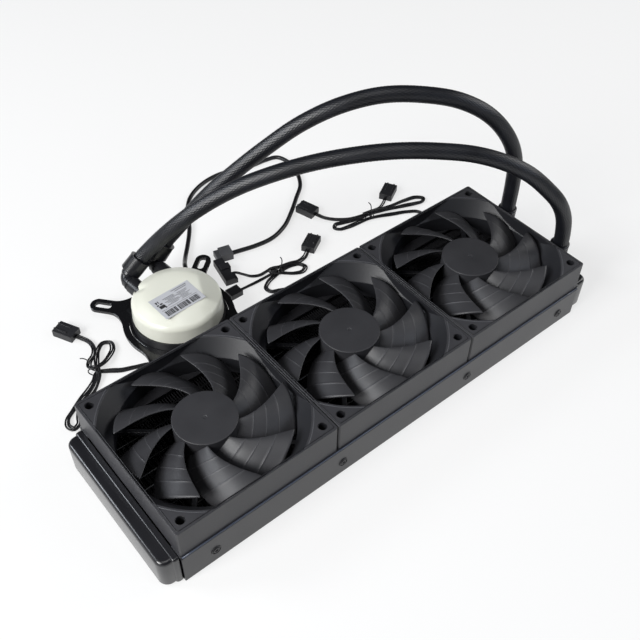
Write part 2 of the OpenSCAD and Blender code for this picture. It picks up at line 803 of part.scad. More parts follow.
module bearing() {
    color([0.7, 0.55, 0.3]) translate([0, 0, bearing_bottom])
        ring(bearing_radius, shaft_radius + running_gap, bearing_top - bearing_bottom);
}

module stator() {
    // Four wound poles on the bearing tube, over the driver board that they are soldered to
    tube_radius = bearing_radius + bearing_tube_wall;
    coil_start = tube_radius + 2.4;
    coil_end = stator_radius - 2.2;
    coil_width = 7.5;
    color([0.62, 0.36, 0.2]) {
        translate([0, 0, stator_bottom]) difference() {
            union() {
                cylinder(r = tube_radius + 2.2, h = stator_height);
                intersection() {
                    union() {
                        ring(stator_radius, stator_radius - 2, stator_height);
                        for (a = [0, 90]) {
                            rotate(a) translate([-stator_radius, -2, 0])
                                cube([2 * stator_radius, 4, stator_height]);
                        }
                    }
                    for (a = [0, 90]) {
                        rotate(a) translate([-stator_radius - cut, -8.5, 0])
                            cube([2 * (stator_radius + cut), 17, stator_height]);
                    }
                }
                for (k = [0 : 3]) {
                    rotate(90 * k) translate([coil_start, -coil_width / 2, -1])
                        cube([coil_end - coil_start, coil_width, stator_height + 2]);
                }
            }
            translate([0, 0, -2 * cut]) cylinder(r = tube_radius, h = stator_height + 4 * cut);
        }
        translate([0, 0, board_bottom]) difference() {
            cylinder(r = base_radius - 2.3, h = board_thickness);
            translate([0, 0, -cut]) cylinder(r = tube_radius + 0.3, h = board_thickness + 2 * cut);
        }
        for (k = [0 : 3]) {
            rotate(90 * k) translate([coil_end - 1, 0, board_bottom + board_thickness / 2])
                cylinder(r = 0.5, h = stator_bottom - board_bottom);
        }
    }
}

module on_fan(index) {
    translate([fan_x[index], 0, rad_height]) children();
}

// Hoses and their fittings
module ribbed_collar() {
    ribs = 12;
    outer = hose_radius + collar_gap + ribbed_collar_wall;
    rib = ribbed_collar_height / ribs;
    difference() {
        rotate_extrude() polygon(concat(
            [[0, 0]],
            [for (i = [0 : ribs - 1])
                each [[outer, i * rib], [outer, (i + 0.6) * rib], [outer - 0.35, (i + 0.7) * rib],
                      [outer - 0.35, (i + 0.9) * rib]]],
            [[outer, ribbed_collar_height], [0, ribbed_collar_height]]));
        translate([0, 0, -cut])
            cylinder(r = hose_radius + collar_gap, h = ribbed_collar_height + 2 * cut);
    }
}

module along_way(origin, azimuth, rise) {
    // Puts the children's +Z along the given heading
    translate(origin) rotate([0, 90 - rise, azimuth]) children();
}

module hose_collars() {
    color([0.08, 0.08, 0.09]) {
        for (y = [near_port_y, far_port_y]) {
            translate([port_x, y, rad_height]) ribbed_collar();
        }
        along_way(near_elbow, elbow_heading, near_elbow_rise) translate([0, 0, collar_start])
            ring(hose_radius + collar_gap + pump_collar_wall, hose_radius + collar_gap,
                 pump_collar_length);
        along_way(far_elbow, elbow_heading, far_elbow_rise) translate([0, 0, collar_start])
            ring(hose_radius + collar_gap + pump_collar_wall, hose_radius + collar_gap,
                 pump_collar_length);
    }
}

module elbow(origin, rise) {
    stub_length = elbow_reach - boss_reach;
    spigot_bore = 2.4;
    neck_bore = 3.2;
    difference() {
        union() {
            translate(origin) rotate_extrude() polygon(concat(
                [[0, -elbow_radius * sin(70)]],
                [for (a = [-70 : 20 : 70]) elbow_radius * [cos(a), sin(a)]],
                [[0, elbow_radius * sin(70)]]));
            along_way(origin, elbow_azimuth + 180, 0) cylinder(r = stub_radius, h = stub_length);
            along_way(origin, elbow_azimuth + 180, 0)
                cylinder(r = spigot_radius, h = stub_length + spigot_length);
            along_way(origin, elbow_heading, rise) cylinder(r = hose_radius, h = neck_length);
        }
        along_way(origin, elbow_azimuth + 180, 0)
            cylinder(r = spigot_bore, h = stub_length + spigot_length + cut);
        along_way(origin, elbow_heading, rise) translate([0, 0, -neck_bore])
            cylinder(r = neck_bore, h = neck_bore + neck_length + cut);
    }
}

module elbow_fittings() {
    color([0.07, 0.07, 0.08]) {
        elbow(near_elbow, near_elbow_rise);
        elbow(far_elbow, far_elbow_rise);
    }
}

module hose(route) {
    color([0.06, 0.06, 0.07]) tube(route, hose_radius, 10);
}

// Pump
module on_pump_axis() {
    translate([pump_x, pump_y, 0]) children();
}

module plate_screw_places() {
    for (k = [0 : plate_screw_count - 1]) {
        rotate((k + 0.5) * 360 / plate_screw_count) translate([plate_screw_reach, 0, 0])
            children();
    }
}

module cold_plate() {
    pitch = microfin_field / microfin_count;
    color([0.75, 0.42, 0.25]) on_pump_axis() difference() {
        union() {
            cylinder(r = plate_radius, h = plate_thickness);
            for (i = [0 : microfin_count - 1]) {
                translate([(i + 0.25) * pitch - microfin_field / 2, -microfin_field / 2,
                           plate_thickness - 0.1])
                    cube([pitch / 2, microfin_field, microfin_height + 0.1]);
            }
        }
        plate_screw_places() {
            translate([0, 0, -cut]) cylinder(r = plate_screw_radius + 0.1,
                                             h = plate_thickness + 2 * cut);
            translate([0, 0, -cut]) cylinder(r = plate_head_radius + 0.1,
                                             h = plate_head_height + 0.3 + cut);
        }
    }
}

module cold_plate_gasket() {
    color([0.1, 0.1, 0.1]) on_pump_axis() translate([0, 0, plate_thickness])
        ring(gasket_radius, gasket_radius - gasket_width, gasket_height);
}

module cold_plate_screws() {
    shank = 7;
    color([0.6, 0.6, 0.62]) on_pump_axis() plate_screw_places() difference() {
        union() {
            translate([0, 0, 0.3]) cylinder(r = plate_head_radius, h = plate_head_height);
            translate([0, 0, plate_head_height]) cylinder(r = plate_screw_radius, h = shank);
        }
        translate([0, 0, -0.7]) cylinder(r = 0.9, h = 1.8, $fn = 6);
    }
}

module pump_housing() {
    color([0.05, 0.05, 0.06]) difference() {
        union() {
            on_pump_axis() {
                translate([0, 0, plate_thickness]) cylinder(r = housing_radius, h = drum_height);
                translate([0, 0, drum_top - cut])
                    cylinder(r = turret_radius, h = turret_height + cut);
                rotate(cable_exit_azimuth) translate([cable_exit_reach - 4, -cable_gland[1] / 2,
                                                      cable_exit_z - cable_gland[2] / 2])
                    cube([cable_gland[0] + 2, cable_gland[1], cable_gland[2]]);
            }
            for (side = [-1, 1]) {
                along_way(on_pump(boss_start, side * elbow_spread) + [0, 0, port_z],
                          elbow_azimuth, 0)
                    cylinder(r = boss_radius, h = boss_reach - boss_start);
            }
        }
        on_pump_axis() {
            translate([0, 0, plate_thickness - cut])
                cylinder(r = chamber_radius, h = chamber_top - plate_thickness + cut);
            translate([0, 0, plate_thickness - cut])
                cylinder(r = microfin_field * 0.72, h = microfin_height + 0.6 + cut);
            cylinder(r = can_radius, h = can_top);
            cylinder(r = pump_shaft_radius, h = can_top + 1.6);
            translate([0, 0, plate_thickness - cut])
                ring(gasket_radius, gasket_radius - gasket_width, gasket_height + cut);
            translate([0, 0, stator_seat])
                ring(can_radius + can_wall + 5, can_radius + can_wall, turret_height + cut);
            plate_screw_places() cylinder(r = plate_screw_radius + 0.05, h = 9.5);
        }
        for (side = [-1, 1]) {
            along_way(on_pump(18.5, side * elbow_spread) + [0, 0, port_z], elbow_azimuth, 0)
                cylinder(r = spigot_radius, h = boss_reach);
        }
    }
}

module pump_rotor() {
    // Curved vanes under a round magnet, moulded as one piece that turns on the fixed shaft
    vanes = 6;
    color([0.85, 0.85, 0.83]) on_pump_axis() difference() {
        union() {
            translate([0, 0, rotor_bottom]) cylinder(r = vane_radius, h = 1.5);
            translate([0, 0, rotor_bottom])
                cylinder(r = pump_magnet_radius, h = can_top - rotor_bottom - 1);
            for (k = [0 : vanes - 1]) {
                rotate(k * 360 / vanes) translate([0, 0, rotor_bottom]) intersection() {
                    translate([9, 9, 0]) ring(11, 9.8, vane_top - rotor_bottom);
                    difference() {
                        cylinder(r = vane_radius - 0.1, h = vane_top - rotor_bottom);
                        translate([-far, -far, -cut]) cube([far, 2 * far, 10]);
                    }
                }
            }
        }
        translate([0, 0, rotor_bottom - cut])
            cylinder(r = pump_shaft_radius + running_gap, h = can_top);
    }
}

module pump_shaft() {
    color([0.9, 0.9, 0.9]) on_pump_axis() translate([0, 0, plate_thickness + microfin_height])
        cylinder(r = pump_shaft_radius, h = can_top + 1.6 - plate_thickness - microfin_height);
}

module pump_stator() {
    inner = can_radius + can_wall;
    height = turret_top - stator_seat - 0.5;
    color([0.62, 0.36, 0.2]) on_pump_axis() translate([0, 0, stator_seat]) union() {
        ring(inner + 2, inner, height);
        for (k = [0 : 5]) {
            rotate(60 * k) translate([inner + 1, -2.6, 0.5]) cube([3.2, 5.2, height - 1]);
        }
    }
}

module pump_circuit_board() {
    // A round board with one straight side, clear of the two ports
    color([0.05, 0.3, 0.15]) on_pump_axis() translate([0, 0, board_z]) rotate(elbow_azimuth)
        union() {
            difference() {
                cylinder(r = turret_radius - 3, h = 1.2);
                translate([boss_start - 1.5, -far, -cut]) cube([far, 2 * far, 3]);
            }
            translate([-8, -10, 1]) cube([7, 7, 1.2]);
            translate([5, 4, 1]) cube([4, 6, 1.2]);
        }
}

module pump_cap() {
    // A domed lid: an upright wall, a crease, and a low crown that two slanting flats cut away
    draft = 0.8;
    crown_radius = 24;
    lean = 15;
    color([0.88, 0.88, 0.82]) difference() {
        on_pump_axis() difference() {
            rotate_extrude($fn = 96) polygon([
                [0, drum_top], [cap_radius, drum_top], [cap_radius, drum_top + 1.5],
                [cap_radius - draft, cap_crease], [cap_radius - draft - 1.5, cap_crease + 1.5],
                [crown_radius, cap_top - 0.8], [crown_radius - 6, cap_top], [0, cap_top]]);
            for (azimuth = [-22, -100]) {
                rotate([0, 0, azimuth]) translate([15, 0, cap_top]) rotate([0, lean, 0])
                    translate([0, -far / 2, 0]) cube([far, far, far]);
            }
            translate([0, 0, drum_top - cut])
                cylinder(r = cap_radius - cap_wall, h = cap_side - 3 + cut);
            translate([0, 0, drum_top + cap_side - 3])
                cylinder(r1 = cap_radius - cap_wall, r2 = turret_radius - 4, h = 4);
        }
        for (side = [-1, 1]) {
            along_way(on_pump(boss_start - 1, side * elbow_spread) + [0, 0, port_z],
                      elbow_azimuth, 0)
                cylinder(r = boss_radius + 0.6, h = boss_reach);
        }
    }
}

module bracket_arm() {
    // One arm along +X: its sides draw in from the ring to the round end
    steps = 10;
    root = bracket_ring - 8;
    tip = slot_reach + (slot_length - slot_width) / 2;
    end_radius = slot_width / 2 + slot_wall;
    root_half = 24;
    neck = slot_reach - 6;
    sides = [for (i = [0 : steps])
        let (s = i / steps)
        [root + s * (neck - root), end_radius + (root_half - end_radius) * pow(1 - s, 2.2)]];
    linear_extrude(bracket_thickness) polygon(concat(
        sides, [[tip, end_radius], [tip, -end_radius]],
        [for (i = [steps : -1 : 0]) [sides[i][0], -sides[i][1]]]));
    translate([tip, 0, 0]) cylinder(r = end_radius, h = bracket_thickness);
}

module bracket_slot() {
    run = slot_length - slot_width;
    depth = bracket_thickness + 2 * cut;
    translate([slot_reach - run / 2, -slot_width / 2, -cut]) cube([run, slot_width, depth]);
    for (side = [-1, 1]) {
        translate([slot_reach + side * run / 2, 0, -cut]) cylinder(d = slot_width, h = depth);
    }
}

module bracket_slit() {
    // A slit between the ring and the housing, between two of the lugs that hold the ring
    slit_start = 20;
    slit_end = 70;
    intersection() {
        translate([0, 0, -cut])
            cylinder(r = housing_radius + slit_width, h = bracket_thickness + 2 * cut);
        translate([0, 0, -cut]) linear_extrude(bracket_thickness + 2 * cut)
            polygon([[0, 0], far * [cos(slit_start), sin(slit_start)],
                     far * [cos(slit_end), sin(slit_end)]]);
    }
}

module mounting_bracket() {
    color([0.04, 0.04, 0.05]) on_pump_axis() translate([0, 0, bracket_z])
        rotate(bracket_turn) difference() {
            union() {
                cylinder(r = bracket_ring, h = bracket_thickness);
                for (k = [0 : 3]) {
                    rotate(90 * k) bracket_arm();
                }
            }
            translate([0, 0, -cut])
                cylinder(r = housing_radius, h = bracket_thickness + 2 * cut);
            for (k = [0 : 3]) {
                rotate(90 * k) {
                    bracket_slot();
                    bracket_slit();
                }
            }
        }
}

// Leads, their hanks, plugs and ties
function end_of(route) = route[len(route) - 1];
function end_azimuth(route) =
    let (v = end_of(route) - route[len(route) - 2]) atan2(v[1], v[0]);

module lead(stretches) {
    color([0.05, 0.05, 0.06]) for (route = stretches) {
        tube(route, lead_radius, 8);
    }
}

module hank(line, width) {
    middle = (line[0] + line[1]) / 2;
    run = line[1] - line[0];
    color([0.05, 0.05, 0.06]) translate([middle[0], middle[1], hank_foot])
        rotate(atan2(run[1], run[0])) linear_extrude(hank_height)
        rounded_slot(norm(run) + width, width);
}

module plug(route) {
    // A fan plug at the end of a lead: a block with two ribs, open at its far end
    pin_window = [3.6, plug_width - 3, plug_height - 2.4];
    low = plug_height / 2 - lead_z;
    color([0.09, 0.1, 0.1]) translate(end_of(route)) rotate(end_azimuth(route))
        translate([0, 0, low + 0.2]) difference() {
            union() {
                translate([0, -plug_width / 2, -plug_height / 2])
                    cube([plug_length, plug_width, plug_height]);
                for (side = [-1, 1]) {
                    translate([plug_length * 0.35, side * plug_width / 4 - 0.6,
                               plug_height / 2 - 0.1])
                        cube([plug_length * 0.65, 1.2, 0.9]);
                }
            }
            translate([plug_length - pin_window[0], -pin_window[1] / 2, -pin_window[2] / 2])
                cube([pin_window[0] + cut, pin_window[1], pin_window[2]]);
        }
}

module pump_plug() {
    // The grey end of the pump's lead, pushed onto the power block
    width = 11;
    length = 14;
    height = 7;
    color([0.35, 0.35, 0.36]) translate([end_of(pump_cable_route)[0],
                                         end_of(pump_cable_route)[1], 0.4])
        rotate(end_azimuth(pump_cable_route)) difference() {
            translate([0, -width / 2, 0]) cube([length, width, height]);
            translate([length - 4, -width / 2 - cut, height - 2])
                cube([4 + cut, width + 2 * cut, 3]);
        }
}

module power_block() {
    // A long flat connector that lies along the pump
    length = 35;
    width = block_width;
    color([0.07, 0.07, 0.08]) translate([block_foot[0], block_foot[1], 0.4])
        rotate(block_azimuth) difference() {
        union() {
            translate([0, -width / 2, 0]) cube([length - 8, width, 6]);
            translate([0, -width / 2 - 2.5, 0]) cube([8, width, 4.5]);
            translate([12, -width / 2 - 1.5, 1]) cube([6, width, 7]);
        }
        translate([4, -1.2, -cut]) cube([18, 2.4, 4]);
    }
}

module power_socket() {
    width = 9;
    color([0.07, 0.07, 0.08]) translate([end_of(power_tail)[0], end_of(power_tail)[1], 0.4])
        rotate(end_azimuth(power_tail)) difference() {
            translate([0, -width / 2, 0]) cube([11, width, 5]);
            translate([7, -width / 2 + 1.2, 1.2]) cube([5, width - 2.4, 2.6]);
        }
}

module cable_tie(line, width, place) {
    // A band pulled round a hank, with its two twisted ends
    run = line[1] - line[0];
    foot = line[0] + place * run / norm(run);
    inner = width + 2 * tie_play;
    top = hank_foot + hank_height + tie_play;
    translate([foot[0], foot[1], 0]) rotate(atan2(run[1], run[0])) {
        difference() {
            translate([-tie_band / 2, -inner / 2 - tie_wall, 0.02])
                cube([tie_band, inner + 2 * tie_wall, top + tie_wall]);
            translate([-tie_band / 2 - cut, -inner / 2, hank_foot - tie_play / 2])
                cube([tie_band + 2 * cut, inner, top - hank_foot + tie_play / 2]);
        }
        translate([0, inner / 2 + tie_wall / 2, 2.5]) rotate([-75, 0, 20])
            cylinder(r = 0.6, h = 9);
    }
}

module cable_ties() {
    color([0.05, 0.05, 0.05]) {
        cable_tie(fan_1_hank_line, fan_1_hank_width, fan_1_tie_place);
        cable_tie(fan_2_hank_line, fan_2_hank_width, fan_2_tie_place);
        cable_tie(fan_3_hank_line, fan_3_hank_width, fan_3_tie_place);
    }
}

left_end_tank();
right_end_tank();
front_side_rail();
rear_side_rail();
coolant_tubes();
cooling_fins();
side_rail_screws();
fan_screws();
on_fan(0) fan_frame();  // fan_1_frame
on_fan(0) impeller();  // fan_1_impeller
on_fan(0) rotor_yoke();  // fan_1_rotor_yoke
on_fan(0) magnet_ring();  // fan_1_magnet_ring
on_fan(0) shaft();  // fan_1_shaft
on_fan(0) bearing();  // fan_1_bearing
on_fan(0) stator();  // fan_1_stator
on_fan(1) fan_frame();  // fan_2_frame
on_fan(1) impeller();  // fan_2_impeller
on_fan(1) rotor_yoke();  // fan_2_rotor_yoke
on_fan(1) magnet_ring();  // fan_2_magnet_ring
on_fan(1) shaft();  // fan_2_shaft
on_fan(1) bearing();  // fan_2_bearing
on_fan(1) stator();  // fan_2_stator
on_fan(2) fan_frame();  // fan_3_frame
on_fan(2) impeller();  // fan_3_impeller
on_fan(2) rotor_yoke();  // fan_3_rotor_yoke
on_fan(2) magnet_ring();  // fan_3_magnet_ring
on_fan(2) shaft();  // fan_3_shaft
on_fan(2) bearing();  // fan_3_bearing
on_fan(2) stator();  // fan_3_stator
hose(hose_1_route);  // hose_1
hose(hose_2_route);  // hose_2
hose_collars();
elbow_fittings();
cold_plate();
cold_plate_gasket();
cold_plate_screws();
mounting_bracket();
pump_housing();
pump_rotor();
pump_shaft();
pump_stator();
pump_circuit_board();
pump_cap();
lead([pump_cable_route]);  // pump_cable
pump_plug();
power_block();
lead([power_route, power_tail]);  // power_lead
power_socket();
lead([fan_1_route, fan_1_tail]);  // fan_1_lead
hank(fan_1_hank_line, fan_1_hank_width);  // fan_1_hank
plug(fan_1_tail);  // fan_1_plug
lead([fan_2_route, fan_2_tail]);  // fan_2_lead
hank(fan_2_hank_line, fan_2_hank_width);  // fan_2_hank
plug(fan_2_tail);  // fan_2_plug
lead([fan_3_route, fan_3_tail]);  // fan_3_lead
hank(fan_3_hank_line, fan_3_hank_width);  // fan_3_hank
plug(fan_3_tail);  // fan_3_plug
lead([fan_3_branch_route]);  // fan_3_branch
plug(fan_3_branch_route);  // fan_3_branch_plug
cable_ties();
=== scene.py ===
import math

import bpy
import numpy as np
from mathutils import Matrix


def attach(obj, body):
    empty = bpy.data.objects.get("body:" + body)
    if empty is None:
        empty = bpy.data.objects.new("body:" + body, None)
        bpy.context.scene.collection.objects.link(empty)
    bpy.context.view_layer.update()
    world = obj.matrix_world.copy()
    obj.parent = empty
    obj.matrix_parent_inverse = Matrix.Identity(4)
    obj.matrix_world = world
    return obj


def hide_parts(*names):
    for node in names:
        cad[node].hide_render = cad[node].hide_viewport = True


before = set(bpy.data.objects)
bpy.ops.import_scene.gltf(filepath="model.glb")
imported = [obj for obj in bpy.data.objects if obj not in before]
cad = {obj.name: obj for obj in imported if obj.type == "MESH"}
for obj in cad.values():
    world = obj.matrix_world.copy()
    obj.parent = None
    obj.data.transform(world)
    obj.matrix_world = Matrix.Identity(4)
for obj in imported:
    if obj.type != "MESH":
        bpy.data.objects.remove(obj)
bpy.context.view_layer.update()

# Camera
# It looks down on the radiator's left front corner from about 0.6 m, with a 48 mm lens, so
# the near fan is larger than the far one and every fan shows its depth.
photo_lens = 48.156
photo_place = (-0.27469, -0.29296, 0.48593)
photo_right = (0.77296, -0.63430, 0.01407)
photo_up = (0.45446, 0.56927, 0.68512)
photo_forward = (0.44265, 0.52327, -0.72818)
camera_data = bpy.data.cameras.new("photo_camera")
camera_data.lens = photo_lens
camera_data.sensor_width = 36
camera = bpy.data.objects.new("photo_camera", camera_data)
bpy.context.collection.objects.link(camera)
camera.matrix_world = Matrix([
    (photo_right[i], photo_up[i], -photo_forward[i], photo_place[i]) for i in range(3)
] + [(0, 0, 0, 1)])
bpy.context.scene.camera = camera
bpy.context.scene.view_settings.view_transform = "Standard"


# Hoses
# Two braided hoses of 12 mm rise from the right tank, arch over the fans and come down to
# the pump. A black polyester sleeve is woven over a rubber tube, so its ribs cross.
hose_radius = 0.006
sleeve_strands = 24
sleeve_angle = math.radians(19)
hose_1_route = [
    (0.1876, -0.031, 0.031), (0.1876, -0.031, 0.058), (0.186, -0.029, 0.073),
    (0.180, -0.025, 0.088), (0.171, -0.017, 0.101), (0.160, -0.008, 0.113),
    (0.147, 0.003, 0.122), (0.130, 0.017, 0.129), (0.108, 0.035, 0.132), (0.084, 0.054, 0.132),
    (0.060, 0.073, 0.128), (0.038, 0.091, 0.121), (0.017, 0.106, 0.113), (-0.003, 0.121, 0.102),
    (-0.020, 0.133, 0.090), (-0.036, 0.143, 0.077), (-0.049, 0.152, 0.063),
    (-0.058, 0.159, 0.051)]
hose_2_route = [
    (0.1876, 0.023, 0.031), (0.1876, 0.023, 0.058), (0.187, 0.023, 0.075), (0.186, 0.024, 0.092),
    (0.182, 0.027, 0.108), (0.174, 0.033, 0.124), (0.162, 0.041, 0.138), (0.145, 0.053, 0.149),
    (0.123, 0.068, 0.155), (0.098, 0.085, 0.156), (0.074, 0.100, 0.150), (0.050, 0.116, 0.136),
    (0.028, 0.130, 0.117), (0.008, 0.142, 0.098), (-0.010, 0.152, 0.080), (-0.025, 0.160, 0.062),
    (-0.034, 0.165, 0.050)]


def heading(azimuth, rise):
    """A unit vector at an azimuth from +X and a rise above the floor, in degrees."""
    a, b = math.radians(azimuth), math.radians(rise)
    return np.array([math.cos(b) * math.cos(a), math.cos(b) * math.sin(a), math.sin(b)])


pump_middle = np.array([-0.067, 0.119, 0])
elbow_height = 0.025
elbow_reach = 0.0485
elbow_spread = 0.0128


def by_elbows(aside):
    """A point on the elbows' row, by its distance to the side of the row's middle."""
    return (pump_middle + [0, 0, elbow_height] + elbow_reach * heading(95, 0)
            + aside * heading(5, 0))


near_elbow, far_elbow = by_elbows(-elbow_spread), by_elbows(elbow_spread)
near_way, far_way = heading(-8, 42), heading(-8, 50)
hose_1_route += [tuple(near_elbow + 0.021 * near_way), tuple(near_elbow + 0.008 * near_way)]
hose_2_route += [tuple(far_elbow + 0.021 * far_way), tuple(far_elbow + 0.008 * far_way)]


def smooth_line(points, step):
    """The points joined by cubics whose slope at each point follows its neighbours, read off
    at equal steps along their length."""
    p = np.array(points, float)
    t = np.concatenate([[0], np.cumsum(np.linalg.norm(np.diff(p, axis=0), axis=1))])
    slope = np.gradient(p, t, axis=0)
    at = np.linspace(0, t[-1], int(t[-1] / step * 4) + 2)
    k = np.clip(np.searchsorted(t, at, side="right") - 1, 0, len(t) - 2)
    h = (t[k + 1] - t[k])[:, None]
    u = ((at - t[k])[:, None]) / h
    fine = ((2 * u**3 - 3 * u**2 + 1) * p[k] + (u**3 - 2 * u**2 + u) * h * slope[k]
            + (3 * u**2 - 2 * u**3) * p[k + 1] + (u**3 - u**2) * h * slope[k + 1])
    s = np.concatenate([[0], np.cumsum(np.linalg.norm(np.diff(fine, axis=0), axis=1))])
    even = np.linspace(0, s[-1], max(3, int(round(s[-1] / step)) + 1))
    return np.stack([np.interp(even, s, fine[:, c]) for c in range(3)], axis=1)


def line_length(line):
    """The sum of a line's steps."""
    return float(np.linalg.norm(np.diff(line, axis=0), axis=1).sum())


def carried_frame(line, across):
    """Way, side and rise at each point of a line: the side is the given direction with its
    part along the way taken off, so a sweep doesn't twist."""
    way = np.gradient(line, axis=0)
    way /= np.linalg.norm(way, axis=1)[:, None]
    side = across - (across * way).sum(axis=1)[:, None] * way
    side /= np.linalg.norm(side, axis=1)[:, None]
    return way, side, np.cross(way, side)


def grid_faces(rows, columns, first=0):
    """Quads between neighbouring rows of a grid whose columns close round."""
    r, c = np.meshgrid(np.arange(rows - 1), np.arange(columns), indexing="ij")
    a, b = r * columns + c, r * columns + (c + 1) % columns
    return np.stack([a, b, b + columns, a + columns], axis=-1).reshape(-1, 4) + first


def new_piece(name, vertices, faces, material, smooth=True):
    """A mesh object at the origin from arrays of points and faces, with one material."""
    mesh = bpy.data.meshes.new(name)
    mesh.from_pydata(np.asarray(vertices, float).tolist(), [], [list(f) for f in faces])
    mesh.polygons.foreach_set("use_smooth", np.full(len(mesh.polygons), smooth))
    mesh.materials.append(material)
    mesh.validate()
    piece = bpy.data.objects.new(name, mesh)
    bpy.context.collection.objects.link(piece)
    return piece


def closed_sweep(line, across, radius, sides):
    """A tube along a line: a ring of points round each point of it, and a cap at each end.
    radius is one number, or an array of rings by sides."""
    way, side, rise = carried_frame(line, across)
    turn = np.arange(sides) * 2 * np.pi / sides
    r = np.broadcast_to(np.asarray(radius, float), (len(line), sides))[..., None]
    rings = (line[:, None] + r * (np.cos(turn)[None, :, None] * side[:, None]
                                  + np.sin(turn)[None, :, None] * rise[:, None]))
    points = np.concatenate([rings.reshape(-1, 3), line[:1], line[-1:]])
    n = len(line) * sides
    ring = np.arange(sides)
    start = np.stack([np.full(sides, n), (ring + 1) % sides, ring], axis=1)
    end = np.stack([np.full(sides, n + 1), n - sides + ring, n - sides + (ring + 1) % sides],
                   axis=1)
    return points, list(grid_faces(len(line), sides)) + list(start) + list(end)


def braided_radius(line, sides, strands, lift):
    """Radius of a woven sleeve: two families of ribs wind opposite ways at the sleeve's angle
    to the hose, and each one passes over and under the other in turn."""
    length = np.linspace(0, line_length(line), len(line))[:, None]
    turn = (np.arange(sides) * 2 * np.pi / sides)[None, :]
    pitch = 2 * np.pi * hose_radius / math.tan(sleeve_angle)
    left = strands * (turn / (2 * np.pi) + length / pitch)
    right = strands * (turn / (2 * np.pi) - length / pitch)
    over = 0.5 + 0.5 * np.cos(np.pi * (left + right)) * np.cos(np.pi * (left - right))
    ribs = (np.abs(np.sin(np.pi * left)) * over + np.abs(np.sin(np.pi * right)) * (1 - over))
    return hose_radius - lift + lift * ribs


def principled(name):
    """A new material's tree, with the sockets that the finishes below set."""
    material = bpy.data.materials.new(name)
    material.use_nodes = True
    return material, material.node_tree.nodes, material.node_tree.links


def speckled(name, dark, pale, roughness, grain, bump, metallic=0.0, coat=0.0, coat_rough=0.1,
             stretch=(1, 1, 1), uneven=0.06, edge=0.0):
    """A solid finish: its colour drifts between two tones in soft clouds, a fine noise of
    the given grain size in metres gives the skin, and roughness follows the clouds. A small
    round of the given radius softens how sharp edges catch the light."""
    material, nodes, links = principled(name)
    shader = nodes["Principled BSDF"]
    place = nodes.new("ShaderNodeTexCoord")
    turn = nodes.new("ShaderNodeMapping")
    turn.inputs["Scale"].default_value = stretch
    links.new(place.outputs["Object"], turn.inputs["Vector"])
    clouds = nodes.new("ShaderNodeTexNoise")
    clouds.inputs["Scale"].default_value = 45
    clouds.inputs["Detail"].default_value = 3
    links.new(turn.outputs["Vector"], clouds.inputs["Vector"])
    skin = nodes.new("ShaderNodeTexNoise")
    skin.inputs["Scale"].default_value = 1 / grain
    skin.inputs["Detail"].default_value = 2
    links.new(turn.outputs["Vector"], skin.inputs["Vector"])
    both = nodes.new("ShaderNodeMix")
    both.inputs["Factor"].default_value = 0.5
    links.new(clouds.outputs["Fac"], both.inputs["A"])
    links.new(skin.outputs["Fac"], both.inputs["B"])
    tones = nodes.new("ShaderNodeValToRGB")
    tones.color_ramp.elements[0].position = 0.35
    tones.color_ramp.elements[0].color = (*dark, 1)
    tones.color_ramp.elements[1].position = 0.65
    tones.color_ramp.elements[1].color = (*pale, 1)
    links.new(both.outputs["Result"], tones.inputs["Fac"])
    links.new(tones.outputs["Color"], shader.inputs["Base Color"])
    rough = nodes.new("ShaderNodeMapRange")
    rough.inputs["To Min"].default_value = roughness - uneven
    rough.inputs["To Max"].default_value = roughness + uneven
    links.new(clouds.outputs["Fac"], rough.inputs["Value"])
    links.new(rough.outputs["Result"], shader.inputs["Roughness"])
    relief = nodes.new("ShaderNodeBump")
    relief.inputs["Strength"].default_value = 1
    relief.inputs["Distance"].default_value = bump
    links.new(skin.outputs["Fac"], relief.inputs["Height"])
    if edge:
        soft_edge = nodes.new("ShaderNodeBevel")
        soft_edge.samples = 6
        soft_edge.inputs["Radius"].default_value = edge
        links.new(soft_edge.outputs["Normal"], relief.inputs["Normal"])
    links.new(relief.outputs["Normal"], shader.inputs["Normal"])
    shader.inputs["Metallic"].default_value = metallic
    shader.inputs["Coat Weight"].default_value = coat
    shader.inputs["Coat Roughness"].default_value = coat_rough
    return material


hose_sleeve = speckled("hose_sleeve", (0.0032, 0.0035, 0.0047), (0.0125, 0.0138, 0.019), 0.34,
                       0.0004, 0.00004, uneven=0.08)


def make_hose(name, route):
    """One hose: its route smoothed, and the braid raised from its surface."""
    line = smooth_line(route, 0.0007)
    arch = np.cross(line[-1] - line[0], [0, 0, 1])
    arch /= np.linalg.norm(arch)
    sides = 5 * sleeve_strands
    braid = braided_radius(line, sides, sleeve_strands, 0.00036)
    points, faces = closed_sweep(line, arch, braid, sides)
    hose = new_piece(name + "_sleeve", points, faces, hose_sleeve)
    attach(hose, "radiator")
    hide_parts(name)
    return hose


make_hose("hose_1", hose_1_route)
make_hose("hose_2", hose_2_route)

# Leads
# Flat ribbons of thin wires come out of the fans, drop to the floor and are folded into
# hanks. The pump's cable is round and runs wide round the back to its grey plug.
strand_radius = 0.00068
strand_pitch = 0.0013
stray_aside = 0.00022
stray_up = 0.00018
cable_sheath = speckled("cable_sheath", (0.003, 0.003, 0.004), (0.008, 0.008, 0.010), 0.38,
                        0.0006, 0.00001)


